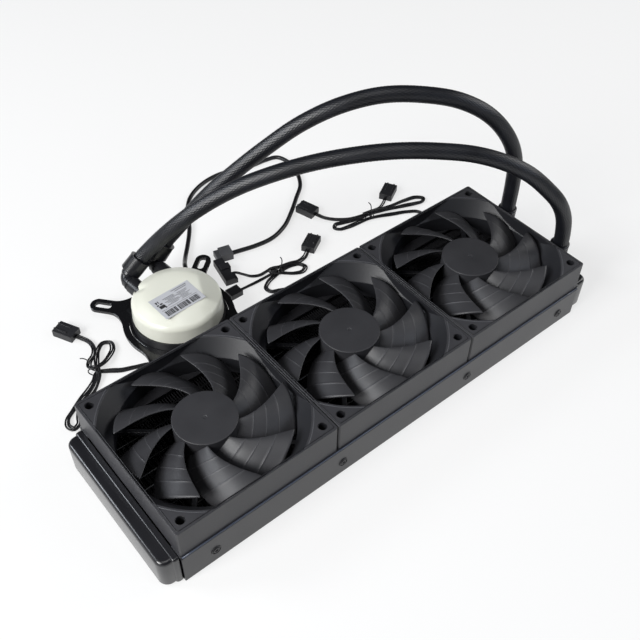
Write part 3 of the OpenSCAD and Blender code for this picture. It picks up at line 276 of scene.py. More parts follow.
def ribbon(line, strands):
    """A flat lead: its strands lie side by side, level with the floor, each a thin tube that
    strays a little up and aside, in slow waves along its length."""
    way = np.gradient(line, axis=0)
    way /= np.linalg.norm(way, axis=1)[:, None]
    flat = np.cross(way, [0, 0, 1])
    flat /= np.linalg.norm(flat, axis=1)[:, None]
    points, faces = [], []
    along = np.linspace(0, line_length(line), len(line))[:, None]
    for k in range(strands):
        offset = ((k - (strands - 1) / 2) * strand_pitch
                  + stray_aside * np.sin(along / 0.0053 + 2.1 * k))
        lifted = stray_up * (1 + np.sin(along / 0.0071 + 1.7 * k)) * np.array([0, 0, 1])
        part, quads = closed_sweep(line + offset * flat + lifted, flat, strand_radius, 8)
        faces += [np.asarray(q) + sum(len(p) for p in points) for q in quads]
        points.append(part)
    return np.concatenate(points), faces


def make_lead(name, route, strands, nodes):
    """One flat lead from its exit to its far end, with the pieces that are on it."""
    line = smooth_line(np.array(route) * 0.001, 0.0012)
    points, faces = ribbon(line, strands)
    lead = new_piece(name, points, faces, cable_sheath)
    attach(lead, "radiator")
    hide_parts(*nodes)
    return lead


fan_wall = 59.65
fan_1_lead_route = [
    (-97, fan_wall, 31), (-97, 66.6, 31), (-97, 70, 23), (-97, 72, 13), (-98, 75.5, 5),
    (-99, 81, 1.4), (-102, 91, 1.2), (-107, 99, 1.2), (-116, 103, 1.2), (-126, 107, 1.2),
    (-134, 112.5, 1.4), (-141, 116, 1.4), (-147, 110.5, 1.2), (-154, 105.5, 1.2),
    (-162, 101.5, 1.2), (-172, 95.5, 1.2), (-178.5, 90.5, 1.4), (-180.5, 85, 1.8),
    (-178.5, 80.5, 2.2), (-174, 82, 2.4), (-171, 88, 2.5), (-167, 94, 2.4), (-160, 98, 1.8),
    (-153, 101.5, 1.4), (-147, 106, 1.6), (-141.5, 112, 2.6), (-139, 119, 3.4),
    (-135, 127, 3), (-130, 134, 2.4), (-123.5, 138, 2.2), (-119, 135, 2.2), (-120.5, 129, 2.4),
    (-127, 123, 3), (-135, 118.5, 4.4), (-140.5, 118, 4.8), (-143.5, 121.5, 4.2),
    (-141, 127, 3), (-135, 132, 2), (-131.5, 138, 1.6), (-131, 146, 1.6), (-134, 153, 2),
    (-136, 157, 2.3)]
fan_2_lead_route = [
    (32, fan_wall, 31), (32, 66.6, 31), (32, 74, 22), (31, 83, 9), (28, 90, 2), (22, 97, 1.2),
    (15, 101, 1.2), (9, 104, 1.2), (8, 109, 1.2), (13, 113.5, 1.3), (21, 116, 1.6),
    (30, 117.5, 1.8), (40, 117.5, 1.6), (47, 114.5, 1.4), (48.5, 109.5, 1.4),
    (44, 106.5, 1.4), (37, 108.5, 1.6), (30, 113, 2.4), (24.5, 117, 3.6), (21.5, 120.5, 3.4),
    (25, 123, 2.8), (31, 121.5, 2.4), (40, 119.5, 2.8), (49, 117.5, 1.8), (56, 119, 1.8),
    (62, 123, 2.3)]
fan_3_lead_route = [
    (160, fan_wall, 31), (160, 66.6, 31), (160, 74, 22), (163, 83, 9), (168, 90, 2),
    (172, 96, 1.2), (171, 103, 1.2), (163, 109, 1.2), (152, 114, 1.2), (141, 119, 1.4),
    (130, 122.5, 1.6), (118, 124.3, 1.4), (108, 125.8, 1.3), (101, 128, 1.3),
    (98.5, 131, 1.5), (101.5, 134, 1.8), (108, 132.5, 1.8), (116, 129.5, 1.8),
    (124, 127, 2.2), (132, 126, 3), (142, 125, 2.4), (155, 123.3, 1.8), (173, 121.5, 1.4),
    (184, 118, 1.4), (187.5, 113.5, 1.5), (183.5, 110.5, 1.8), (176, 111.8, 2.2),
    (167, 115, 2.6), (155, 119, 2.8), (143, 122.5, 3.4), (134, 125, 4.2), (126, 127.5, 3.4),
    (116, 132, 2.2), (107, 139, 1.8), (100, 148, 1.9), (97, 156, 2.3)]
fan_3_branch_lead_route = [
    (128, 127.5, 5), (135, 126.8, 4.6), (142, 126.3, 3.6), (147, 127, 2.5), (153, 129.5, 2.1),
    (160, 134, 2.3)]
power_lead_route = [
    (-5, 140, 2.3), (-1, 139.1, 1.9), (3, 134, 1.4), (7, 128, 1.3), (13, 124.5, 1.6),
    (19, 123.3, 3.2), (24, 122.3, 5), (27, 120, 5.4), (25, 117.8, 5), (20, 118.3, 3.2),
    (13, 119.3, 1.8), (5, 119.7, 1.4), (-3, 120, 1.6), (-10, 120, 2.1)]
make_lead("fan_1_ribbon", fan_1_lead_route, 3, ["fan_1_lead", "fan_1_hank"])
make_lead("fan_2_ribbon", fan_2_lead_route, 3, ["fan_2_lead", "fan_2_hank"])
make_lead("fan_3_ribbon", fan_3_lead_route, 3, ["fan_3_lead", "fan_3_hank"])
make_lead("fan_3_branch_ribbon", fan_3_branch_lead_route, 2, ["fan_3_branch"])
make_lead("power_ribbon", power_lead_route, 2, ["power_lead"])

pump_cable_radius = 0.0019
gland = 1000 * pump_middle + 40.5 * heading(50, 0)
pump_cable_route = [
    tuple(gland + [0, 0, 12.8]), tuple(gland + 6 * heading(50, 0) + [0, 0, 12.8]),
    (-34, 161, 12), (-29, 170, 7), (-23, 179, 3.2), (-13, 191, 2.35), (0, 208, 2.3),
    (11, 228, 2.3), (24, 243, 2.3), (41, 252, 2.3), (60, 255, 2.3), (78, 252, 2.3),
    (95, 247, 2.3), (110, 246, 2.3), (121, 243, 2.3), (125, 230, 2.3), (121, 212, 2.3),
    (112, 196, 2.3), (98, 184, 2.3), (82, 171, 2.3), (66, 160, 2.3), (48, 154, 2.3),
    (31, 155, 2.3), (18, 158, 2.3), (10, 160, 2.3)]
pump_line = smooth_line(np.array(pump_cable_route) * 0.001, 0.002)
points, faces = closed_sweep(pump_line, np.array([0.02, -0.03, 1.0]), pump_cable_radius, 16)
pump_lead = new_piece("pump_lead", points, faces, cable_sheath)
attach(pump_lead, "radiator")
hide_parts("pump_cable")

# Fan frames
# Each frame is one moulding of glass-filled nylon with a fine matt grain outside and on its
# corner plates. Its duct, scooped corners, struts and motor base are coloured darker: painted
# shade for the dim inside of the frame.
fan_names = ["fan_1", "fan_2", "fan_3"]
fan_middle = {"fan_1": -0.12, "fan_2": 0.0, "fan_3": 0.12}
fan_floor = 0.027
fan_top = 0.052
frame_plastic = speckled("frame_plastic", (0.033, 0.033, 0.037), (0.045, 0.045, 0.050), 0.44,
                         0.00035, 0.00003, edge=0.0008)


def paint_duct_shade(material, colour):
    """Paints shade into a frame's finish: a darker colour within its four walls and below its
    top face, where the duct lies in shade. The larger of the two distances from a fan's axis
    says which points are within them, and the axes are 120 mm apart."""
    nodes, links = material.node_tree.nodes, material.node_tree.links

    def worked(operation, *values):
        """One step of arithmetic, on numbers or on what other steps give."""
        node = nodes.new("ShaderNodeMath")
        node.operation = operation
        for socket, value in zip(node.inputs, values):
            if isinstance(value, float):
                socket.default_value = value
            else:
                links.new(value, socket)
        return node.outputs["Value"]

    place = nodes.new("ShaderNodeSeparateXYZ")
    links.new(nodes["Texture Coordinate"].outputs["Object"], place.inputs["Vector"])
    half_pitch = fan_middle["fan_3"] / 2
    across = worked("ABSOLUTE", worked("WRAP", place.outputs["X"], half_pitch, -half_pitch))
    wall = worked("MAXIMUM", across, worked("ABSOLUTE", place.outputs["Y"]))
    within = worked("MULTIPLY", worked("LESS_THAN", wall, 0.059),
                    worked("LESS_THAN", place.outputs["Z"], fan_top - 0.0003))
    mix = nodes.new("ShaderNodeMixRGB")
    mix.inputs["Color2"].default_value = (*colour, 1)
    links.new(within, mix.inputs["Fac"])
    links.new(nodes["Color Ramp"].outputs["Color"], mix.inputs["Color1"])
    links.new(mix.outputs["Color"], nodes["Principled BSDF"].inputs["Base Color"])


# Painted shade: the inside of each duct is coloured darker than the outside.
paint_duct_shade(frame_plastic, (0.016, 0.0165, 0.0195))


def dress(node, material):
    """Gives a solid's own object a finish in place of its plain one."""
    for slot in cad[node].material_slots:
        slot.link = "OBJECT"
        slot.material = material


for name in fan_names:
    dress(name + "_frame", frame_plastic)

# Frame lines
# A fine near-black bead runs just inside the top edge of each frame and round each hole, and a
# raised crest beside each scooped corner is coloured light grey as a painted highlight.
corner_signs = ((1, 1), (-1, 1), (-1, -1), (1, -1))
border_half = 0.0578
border_round = 0.0012
hole_step = 0.0525
hole_radius = 0.0030
crest_radius = 0.0686


def raised_line(flat, z, radius, closed):
    """A thin bead along a flat chain of points, half sunk in the face at height z."""
    line = np.concatenate([flat, np.full((len(flat), 1), z)], axis=1)
    if closed:
        line = np.concatenate([line, line[:2]])
    return closed_sweep(line, np.array([0, 0, 1.0]), radius, 8)


def arc(middle, radius, start, end, steps):
    """Points on a circle's arc, between two angles in degrees."""
    a = np.radians(np.linspace(start, end, steps))
    return np.stack([middle[0] + radius * np.cos(a), middle[1] + radius * np.sin(a)], axis=1)


def joined(parts):
    """Several pieces of surface as one list of points and one of faces."""
    points, faces, first = [], [], 0
    for some, quads in parts:
        faces += [np.asarray(q) + first for q in quads]
        points.append(some)
        first += len(some)
    return np.concatenate(points), faces


# A near-black bead just inside each frame's top edge and round each hole.
near_black_line = speckled("near_black_line", (0.006, 0.006, 0.008), (0.010, 0.010, 0.012), 0.4, 0.0004,
                      0.000004)
# Painted highlight: the crests are coloured light grey, lighter than the frame's own nylon.
crest_highlight = speckled("crest_highlight", (0.075, 0.077, 0.085), (0.095, 0.098, 0.108), 0.35, 0.0004,
                      0.000004)
for name in fan_names:
    middle = (fan_middle[name], 0)
    turn_in = border_half - border_round
    border = np.concatenate([
        arc((middle[0] + sx * turn_in, sy * turn_in), border_round, 90 * k, 90 * k + 90, 6)
        for k, (sx, sy) in enumerate(corner_signs)])
    parts = [raised_line(border, fan_top - 0.0002, 0.0004, True)]
    for sx, sy in corner_signs:
        rim = arc((middle[0] + sx * hole_step, sy * hole_step), hole_radius, 0, 345, 24)
        parts.append(raised_line(rim, fan_top - 0.00022, 0.0003, True))
    points, faces = joined(parts)
    seams = new_piece(name + "_seams", points, faces, near_black_line)
    points, faces = joined([
        raised_line(arc(middle, crest_radius, 90 * k + 33, 90 * k + 57, 24), fan_top - 0.0001,
                    0.00028, False) for k in range(4)])
    crests = new_piece(name + "_crests", points, faces, crest_highlight)
    for piece in (seams, crests):
        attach(piece, "radiator")

# Impellers
# Nine blades are moulded with the hub. Each is twisted and cambered, leans forward to its
# tip and has three shallow steps across it, and its edges are rounded.
hub_radius = 0.0213
hub_top = 0.024
hub_bottom = 0.0036
blade_count = 9
blade_root = 0.0204
blade_tip = 0.0571
blade_top = 0.022
blade_drop = 0.0160
blade_steps = np.array([0.0305, 0.0388, 0.0469])
rotor_plastic = speckled("rotor_plastic", (0.026, 0.026, 0.029), (0.037, 0.037, 0.041), 0.46,
                         0.0003, 0.00002)


def paint_ridge_highlight(material, attribute, colour, share):
    """Paints a highlight into a finish: lightens it to a colour where the piece's own attribute
    is high, as along the blades' step ridges where they catch the light."""
    nodes, links = material.node_tree.nodes, material.node_tree.links
    crest = nodes.new("ShaderNodeAttribute")
    crest.attribute_name = attribute
    highlight_share = nodes.new("ShaderNodeMath")
    highlight_share.operation = "MULTIPLY"
    highlight_share.inputs[1].default_value = share
    links.new(crest.outputs["Fac"], highlight_share.inputs[0])
    mix = nodes.new("ShaderNodeMixRGB")
    mix.inputs["Color2"].default_value = (*colour, 1)
    links.new(highlight_share.outputs["Value"], mix.inputs["Fac"])
    links.new(nodes["Color Ramp"].outputs["Color"], mix.inputs["Color1"])
    links.new(mix.outputs["Color"], nodes["Principled BSDF"].inputs["Base Color"])


# Painted highlight: the ridges at the blades' steps are coloured lighter, as thin lines of
# light.
paint_ridge_highlight(rotor_plastic, "crest", (0.12, 0.12, 0.13), 0.3)


def turned(profile, sides):
    """A profile of radius and height turned once about an upright axis; where its radius is
    nought it closes on one point. Rows run along the profile."""
    profile = np.asarray(profile, float)
    turn = np.arange(sides) * 2 * np.pi / sides
    points = np.stack([profile[:, 0, None] * np.cos(turn), profile[:, 0, None] * np.sin(turn),
                       np.repeat(profile[:, 1, None], sides, axis=1)], axis=-1)
    return points.reshape(-1, 3), grid_faces(len(profile), sides)


def rounded_profile(corners, radii, steps=5):
    """A chain of corners with each inner one replaced by a round of the given radius: points
    on the quadratic curve between the two places where the round begins."""
    c = np.asarray(corners, float)
    out = [c[:1]]
    u = np.linspace(0, 1, steps + 1)[:, None]
    for k in range(1, len(c) - 1):
        before, after = c[k - 1] - c[k], c[k + 1] - c[k]
        cut = min(radii[k], 0.45 * np.linalg.norm(before), 0.45 * np.linalg.norm(after))
        if cut <= 0:
            out.append(c[k:k + 1])
            continue
        a = c[k] + cut * before / np.linalg.norm(before)
        b = c[k] + cut * after / np.linalg.norm(after)
        out.append((1 - u)**2 * a + 2 * u * (1 - u) * c[k] + u**2 * b)
    out.append(c[-1:])
    return np.concatenate(out)


def blade_surface(first, k):
    """One blade of nine, as a closed grid: span by a loop round its section. Angle falls
    back from the tip to the root and along the chord, height falls along the chord, and
    thickness follows a round-nosed section that thins at each step outwards. Each step ends
    in a fine ridge, whose share of the height is given back with the grid."""
    plain = np.linspace(blade_root, blade_tip, 26)
    edge = np.concatenate([blade_steps + d for d in (-0.00034, -0.00017, 0, 0.00017, 0.00034)])
    r = np.sort(np.concatenate([plain, edge]))[:, None]
    s = (r - blade_root) / (blade_tip - blade_root)
    share = 0.5 - 0.5 * np.cos(np.linspace(0, np.pi, 25))
    loop = np.concatenate([share, share[-2:0:-1]])[None, :]
    face = np.concatenate([np.ones(25), -np.ones(23)])[None, :]
    lead = first + 360 / blade_count * k
    angle = np.radians(lead - 33 * (1 - s)**1.3 - loop * (41 - 9 * s))
    middle = blade_top - blade_drop * loop**(1.25 + 0.9 * s)
    passed = (r > blade_steps[None, :]).sum(axis=1)[:, None]
    nose = np.sqrt(np.clip(1 - (2 * loop - 1)**6, 0, 1))
    ridge = np.exp(-((r - blade_steps[None, :]) / 0.0002)**2).sum(axis=1)[:, None] * (face > 0)
    half = (0.0009 - 0.00008 * passed * (face > 0)) * (0.35 + 0.65 * nose) * np.sign(nose)
    half = np.where((loop < 1e-6) | (loop > 1 - 1e-6), 0, half + 0.00016 * ridge * nose)
    z = middle + face * half
    points = np.stack([r * np.cos(angle), r * np.sin(angle), z], axis=-1)
    rows, columns = r.shape[0], loop.shape[1]
    faces = [f[::-1] for f in grid_faces(rows, columns)]
    faces.append(np.arange(columns))
    faces.append((rows - 1) * columns + np.arange(columns)[::-1])
    return points.reshape(-1, 3), faces, (ridge * nose + 0 * z).ravel()


hub_profile = rounded_profile(
    [(0.0003, hub_bottom), (0.0194, hub_bottom), (0.0194, 0.0038), (hub_radius, 0.0038),
     (hub_radius, hub_top), (0.0016, hub_top), (0.0012, hub_top - 0.0003),
     (0.0003, hub_top - 0.0003)],
    [0, 0, 0, 0.0003, 0.0008, 0.0002, 0.0002, 0])
for name in fan_names:
    n = 128
    points, faces = turned(hub_profile, n)
    faces = list(faces) + [np.arange(n)[::-1], (len(hub_profile) - 1) * n + np.arange(n)]
    points, crests = [points], [np.zeros(len(points))]
    for k in range(blade_count):
        blade, quads, crest = blade_surface(33, k)
        faces += [np.asarray(f) + sum(len(p) for p in points) for f in quads]
        points.append(blade)
        crests.append(crest)
    points = np.concatenate(points) + [fan_middle[name], 0, fan_floor]
    wheel = new_piece(name + "_wheel", points, faces, rotor_plastic)
    highlight_share = wheel.data.attributes.new("crest", "FLOAT", "POINT")
    highlight_share.data.foreach_set("value", np.concatenate(crests))
    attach(wheel, name + "_rotor")
    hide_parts(name + "_impeller")

# Motors
# Under each hub: a drawn steel yoke, a bonded ferrite ring, a ground shaft in a sintered
# bronze sleeve, and a stator wound with enamelled wire.
drawn_steel = speckled("drawn_steel", (0.42, 0.42, 0.44), (0.55, 0.55, 0.57), 0.3, 0.0008,
                       0.00001, metallic=1.0, stretch=(1, 1, 12))
ferrite = speckled("ferrite", (0.05, 0.045, 0.042), (0.07, 0.065, 0.06), 0.7, 0.0003, 0.00003)
sintered_bronze = speckled("sintered_bronze", (0.5, 0.34, 0.15), (0.62, 0.44, 0.22), 0.45,
                           0.0003, 0.00004, metallic=1.0)
wound_wire = speckled("wound_wire", (0.42, 0.17, 0.06), (0.55, 0.26, 0.1), 0.32, 0.0005,
                      0.0001, metallic=1.0, stretch=(1, 1, 6))
for name in fan_names:
    dress(name + "_rotor_yoke", drawn_steel)
    dress(name + "_magnet_ring", ferrite)
    dress(name + "_shaft", drawn_steel)
    dress(name + "_bearing", sintered_bronze)
    dress(name + "_stator", wound_wire)

# Radiator
# Tanks, rails, tubes and fins are brazed aluminium, painted black all over. The tanks have
# a glossier coat than the folded rails.
rail_paint = speckled("rail_paint", (0.024, 0.024, 0.027), (0.032, 0.032, 0.036), 0.34, 0.0004,
                      0.00001, edge=0.0008)
tank_paint = speckled("tank_paint", (0.009, 0.009, 0.011), (0.013, 0.013, 0.016), 0.3, 0.0006,
                      0.000002, coat=0.35, coat_rough=0.1, uneven=0.02)
core_paint = speckled("core_paint", (0.005, 0.005, 0.006), (0.010, 0.010, 0.011), 0.38, 0.0005,
                      0.00002)
for node in ("front_side_rail", "rear_side_rail"):
    dress(node, rail_paint)
dress("coolant_tubes", core_paint)

# Left end tank
# A drawn tank closes the far end of the core. Its long edges are rolled, its ends are round
# in plan, and a groove parts it from the header plate that stands beside the fans.
def stacked(middle, half, corner, levels, steps=10):
    """A block built of level rings: each ring is the plan's outline, a rectangle with round
    corners, drawn in by its own inset, and by a third of it on the side towards the fans.
    corner holds the rounds of the outer and the inner side. The first and the last ring are
    closed flat."""
    rings = []
    for inset, z in levels:
        chains = []
        for k, (sx, sy) in enumerate(corner_signs):
            round_off = max((corner[0] if sx < 0 else corner[1]) - inset, 0.0002)
            side_inset = inset if sx < 0 else inset / 3
            at = (middle[0] + sx * (half[0] - side_inset - round_off),
                  middle[1] + sy * (half[1] - inset - round_off))
            chains.append(arc(at, round_off, 90 * k, 90 * k + 90, steps))
        flat = np.concatenate(chains)
        rings.append(np.concatenate([flat, np.full((len(flat), 1), z)], axis=1))
    n = len(rings[0])
    faces = list(grid_faces(len(rings), n))
    faces += [np.arange(n)[::-1], (len(rings) - 1) * n + np.arange(n)]
    return np.concatenate(rings), faces


def edge_levels(foot, top, low_round, top_round):
    """Insets and heights up a wall with a rounded foot and a rounded upper edge."""
    a = np.radians(np.linspace(0, 90, 8))
    low = [(low_round * (1 - math.sin(t)), foot + low_round * (1 - math.cos(t))) for t in a]
    high = [(top_round * (1 - math.cos(t)), top - top_round * (1 - math.sin(t))) for t in a]
    return low + high


tank_levels = edge_levels(0.0001, 0.0263, 0.0022, 0.0028)
header_levels = edge_levels(0.0004, 0.0266, 0.0006, 0.0017)
tank_parts = [stacked((-0.1882, 0), (0.0048, 0.0578), (0.0066, 0.0014), tank_levels),
              stacked((-0.1825, 0), (0.0025, 0.0590), (0.0023, 0.0010), header_levels)]
points, faces = joined(tank_parts)
left_tank = new_piece("left_tank", points, faces, tank_paint)
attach(left_tank, "radiator")
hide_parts("left_end_tank")

# Right end tank
# The same drawn tank the other way round and a little wider, with two short ports brazed
# in its top for the hoses.
port_x = 0.1876
port_rows = (-0.031, 0.023)
port = rounded_profile([(0.0030, 0.0240), (0.0060, 0.0240), (0.0060, 0.0308), (0.0030, 0.0308)],
                       [0, 0, 0.0008, 0])
wider = [stacked((-0.1900, 0), (0.0066, 0.0578), (0.0062, 0.0014), tank_levels), tank_parts[1]]
points, faces = joined(wider)
right_parts = [(points * [-1, 1, 1], [np.asarray(f)[::-1] for f in faces])]
for port_y in port_rows:
    points, faces = turned(port, 48)
    ends = [np.arange(48)[::-1], (len(port) - 1) * 48 + np.arange(48)]
    right_parts.append((points + [port_x, port_y, 0], list(faces) + ends))
points, faces = joined(right_parts)
right_tank = new_piece("right_tank", points, faces, tank_paint)
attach(right_tank, "radiator")
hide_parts("right_end_tank")

# Rail lips
# The upper bend of each folded rail, beside the fans. Its paint is smoother than the rest, and
# coloured a light bluish grey as a painted reflection along the bend.
lip_half_length = 0.1793
lip_y = 0.0604
lip_z = 0.02685
# Painted reflection: a light bluish grey, far lighter than the rail's own paint.
lip_reflection_paint = speckled("lip_reflection_paint", (0.055, 0.066, 0.095), (0.075, 0.09, 0.13), 0.22, 0.0004,
                     0.000004)
parts = []
for side in (-1, 1):
    x = np.linspace(-lip_half_length, lip_half_length, 30)
    line = np.stack([x, 0 * x + side * lip_y, 0 * x + lip_z], axis=1)
    parts.append(closed_sweep(line, np.array([0, 0, 1.0]), 0.00058, 12))
points, faces = joined(parts)
rail_lips = new_piece("rail_lips", points, faces, lip_reflection_paint)
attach(rail_lips, "radiator")

# Fins
# Thin aluminium strip is folded to and fro between the coolant tubes, so its crests touch
# both tubes. The outer strips lie between the last tube and the rail.
core_half_length = 0.1795
tube_row = 0.05115
tube_step = 2 * tube_row / 11
fold_step = 0.0019
strip_bottom, strip_top = 0.0038, 0.0232
fin_paint = speckled("fin_paint", (0.03, 0.03, 0.033), (0.055, 0.055, 0.06), 0.34, 0.0005,
                     0.00002, metallic=0.5)


def folded_strip(middle_y, width, step):
    """One folded strip along the core: a square wave whose legs cross the gap, one to each
    step along it, joined by short crests on the tubes, from the tubes' bottom to their top."""
    legs = np.arange(-core_half_length, core_half_length, step)
    x = np.repeat(legs, 2)
    half = width / 2
    y = middle_y + np.tile([-half, half, half, -half], len(legs) // 2 + 1)[:len(x)]
    thick = 0.00007
    rows = []
    for dx, z in ((-thick, strip_bottom), (thick, strip_bottom), (thick, strip_top),
                  (-thick, strip_top)):
        rows.append(np.stack([x + dx, y, np.full(len(x), z)], axis=1))
    points = np.stack(rows, axis=1).reshape(-1, 3)
    faces = list(grid_faces(len(x), 4)) + [[3, 2, 1, 0]]
    n = 4 * (len(x) - 1)
    return points, faces + [[n, n + 1, n + 2, n + 3]]


strips = [folded_strip((k - 5) * tube_step, tube_step - 0.0019, fold_step) for k in range(11)]
strips += [folded_strip(side * (tube_row + 0.0035), 0.005, fold_step) for side in (-1, 1)]
points, faces = joined(strips)
fins = new_piece("folded_fins", points, faces, fin_paint, smooth=False)
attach(fins, "radiator")
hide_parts("cooling_fins")

# Screws
# The fan screws are black oxide steel and go down through the frames' corner holes. Those of
# the cold plate are plain drawn steel, in from below.
black_steel = speckled("black_steel", (0.02, 0.02, 0.022), (0.035, 0.035, 0.038), 0.3, 0.0003,
                       0.00001, metallic=0.6)
dress("fan_screws", black_steel)
dress("cold_plate_screws", drawn_steel)

# Pump
# A black moulded housing on a machined copper plate, sealed by a rubber ring. Inside are a
# white rotor on a ceramic shaft, a wound stator and a circuit board.
pump_plastic = speckled("pump_plastic", (0.01, 0.01, 0.012), (0.018, 0.018, 0.02), 0.34, 0.0004,
                        0.00001)
machined_copper = speckled("machined_copper", (0.62, 0.28, 0.16), (0.72, 0.36, 0.22), 0.25,
                           0.0004, 0.00001, metallic=1.0)
seal_rubber = speckled("seal_rubber", (0.015, 0.015, 0.016), (0.025, 0.025, 0.026), 0.6, 0.0005,
                       0.00003)
cap_plastic = speckled("cap_plastic", (0.75, 0.755, 0.655), (0.78, 0.785, 0.695), 0.32, 0.0006,
                       0.000004, coat=0.15)
white_plastic = speckled("white_plastic", (0.7, 0.7, 0.67), (0.76, 0.76, 0.73), 0.4, 0.0006,
                         0.00001)
polished_ceramic = speckled("polished_ceramic", (0.78, 0.78, 0.76), (0.84, 0.84, 0.82), 0.15,
                            0.0005, 0.000002)
board_resin = speckled("board_resin", (0.015, 0.12, 0.05), (0.025, 0.17, 0.075), 0.3, 0.0007,
                       0.00001)
bracket_paint = speckled("bracket_paint", (0.004, 0.004, 0.005), (0.007, 0.007, 0.008), 0.16,
                         0.0006, 0.000002, coat=0.2, coat_rough=0.08, uneven=0.02)
dress("pump_housing", pump_plastic)
dress("cold_plate", machined_copper)
dress("cold_plate_gasket", seal_rubber)
dress("pump_rotor", white_plastic)
dress("pump_shaft", polished_ceramic)
dress("pump_stator", wound_wire)
dress("pump_circuit_board", board_resin)

# Pump cap
# A cream lid with an upright wall, a rounded crease and a low crown. Two flats slant down
# from the crown on the side of the fans, and a thumb groove runs in beside the elbows.
crown_height = 0.0365
lid_inner_radius = 0.0315
lid_inner_height = 0.0272
cap_outline = rounded_profile(
    [(lid_inner_radius, 0.017), (0.0345, 0.017), (0.0338, 0.0292), (0.0318, 0.0318),
     (0.024, 0.0357), (0.0175, crown_height), (0.0002, crown_height)],
    [0, 0.0005, 0.0016, 0.003, 0.005, 0.004, 0], steps=9)


def slanted(radius, turn, azimuth, start, lean):
    """Height of a flat that leans down from the crown: level up to its start."""
    along = radius * np.cos(turn - math.radians(azimuth)) - start
    return crown_height - math.tan(math.radians(lean)) * along


def softly_lowest(a, b, soft):
    """The lower of two heights, with a round of the given size where they meet."""
    gap = np.clip(0.5 + 0.5 * (b - a) / soft, 0, 1)
    return b * (1 - gap) + a * gap - soft * gap * (1 - gap)


sides = 192
turn = (np.arange(sides) * 2 * np.pi / sides)[None, :]
rows = np.concatenate([cap_outline[:-1], np.stack([np.linspace(0.0125, 0.0002, 22),
                                                   np.full(22, crown_height)], axis=1)])
rows = rows[np.concatenate([[True], np.linalg.norm(np.diff(rows, axis=0), axis=1) > 1e-5])]
radius, height = rows[:, :1] + 0 * turn, rows[:, 1:] + 0 * turn
on_top = np.clip((height - 0.0285) / 0.002, 0, 1)
flats = softly_lowest(height, slanted(radius, turn, -22, 0.0185, 26), 0.0006)
flats = softly_lowest(flats, slanted(radius, turn, -97, 0.0215, 26), 0.0006)
away = radius * np.sin(turn - math.radians(128))
inward = radius * np.cos(turn - math.radians(128)) - 0.022
groove = 0.0022 * np.exp(-(away / 0.0028)**2) * np.clip(inward / 0.008, 0, 1)
height = np.where(on_top > 0, height + on_top * (np.minimum(flats, height) - height - groove),
                  height)
crown = np.stack([radius * np.cos(turn), radius * np.sin(turn), height], axis=-1)
under = np.stack([lid_inner_radius * np.cos(turn), lid_inner_radius * np.sin(turn),
                  lid_inner_height + 0 * turn], axis=-1)
points = np.concatenate([crown.reshape(-1, 3), under.reshape(-1, 3),
                         [[0, 0, lid_inner_height]]]) + pump_middle
count = crown.shape[0]
ring = np.arange(sides)
faces = list(grid_faces(count, sides)) + [(count - 1) * sides + ring]
low = count * sides
faces += [[low + k, low + (k + 1) % sides, (k + 1) % sides, k] for k in ring]
faces += [[low + (k + 1) % sides, low + k, low + sides] for k in ring]
lid = new_piece("cap_lid", points, faces, cap_plastic)
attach(lid, "radiator")
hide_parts("pump_cap")

# Elbows and collars
# Two swivel elbows stand on the housing's bosses: a stub, a round knuckle and a neck that the
# hose is pushed over. A plain satin collar holds each hose at the pump, a ribbed one at the
# radiator.
satin_black = speckled("satin_black", (0.007, 0.007, 0.009), (0.012, 0.012, 0.015), 0.3,
                       0.0005, 0.000008)


def set_along(points, origin, way):
    """Points about an upright axis, carried so that the axis runs from origin along way."""
    side = np.cross([0, 0, 1.0], way)
    side /= np.linalg.norm(side)
    return (np.asarray(origin) + points[:, :1] * side + points[:, 1:2] * np.cross(way, side)
            + points[:, 2:] * way)


def turned_along(profile, origin, way, sides):
    """A turned shape set along a direction, its two ends closed flat."""
    points, faces = turned(profile, sides)
    ends = [np.arange(sides)[::-1], (len(profile) - 1) * sides + np.arange(sides)]
    return set_along(points, origin, np.asarray(way, float)), list(faces) + ends


stub = rounded_profile([(0.0040, 0.0030), (0.0054, 0.0030), (0.0054, 0.0068), (0.0060, 0.0068),
                        (0.0060, 0.0088), (0.0054, 0.0088), (0.0054, 0.0106), (0.004, 0.0106)],
                       [0, 0.0003, 0.0002, 0.0004, 0.0004, 0.0002, 0.0002, 0])
neck = rounded_profile([(0.0045, 0.0015), (0.0059, 0.0040), (0.0059, 0.0080), (0.0045, 0.0080)],
                       [0, 0.0006, 0.0002, 0])


def elbow_bend(elbow, way, radius):
    """A bent tube from the hose's neck to the housing: two straight runs joined by a round
    that leaves each of them as far from the corner as the other."""
    out = heading(275, 0)
    u = np.linspace(0, 1, 14)[:, None]
    bend = ((1 - u)**2 * 0.0062 * way + u**2 * 0.0062 * out)
    run = np.concatenate([[0.0095 * way], [0.0078 * way], bend, [0.0085 * out], [0.0102 * out]])
    return closed_sweep(elbow + run, np.cross(way, out), radius, 40)


parts = []
for elbow, way in ((near_elbow, near_way), (far_elbow, far_way)):
    parts.append(elbow_bend(elbow, way, 0.0052))
    parts.append(turned_along(stub, elbow, heading(275, 0), 40))
    parts.append(turned_along(neck, elbow, way, 40))
points, faces = joined(parts)
elbows = new_piece("swivel_elbows", points, faces, satin_black)
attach(elbows, "radiator")
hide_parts("elbow_fittings")

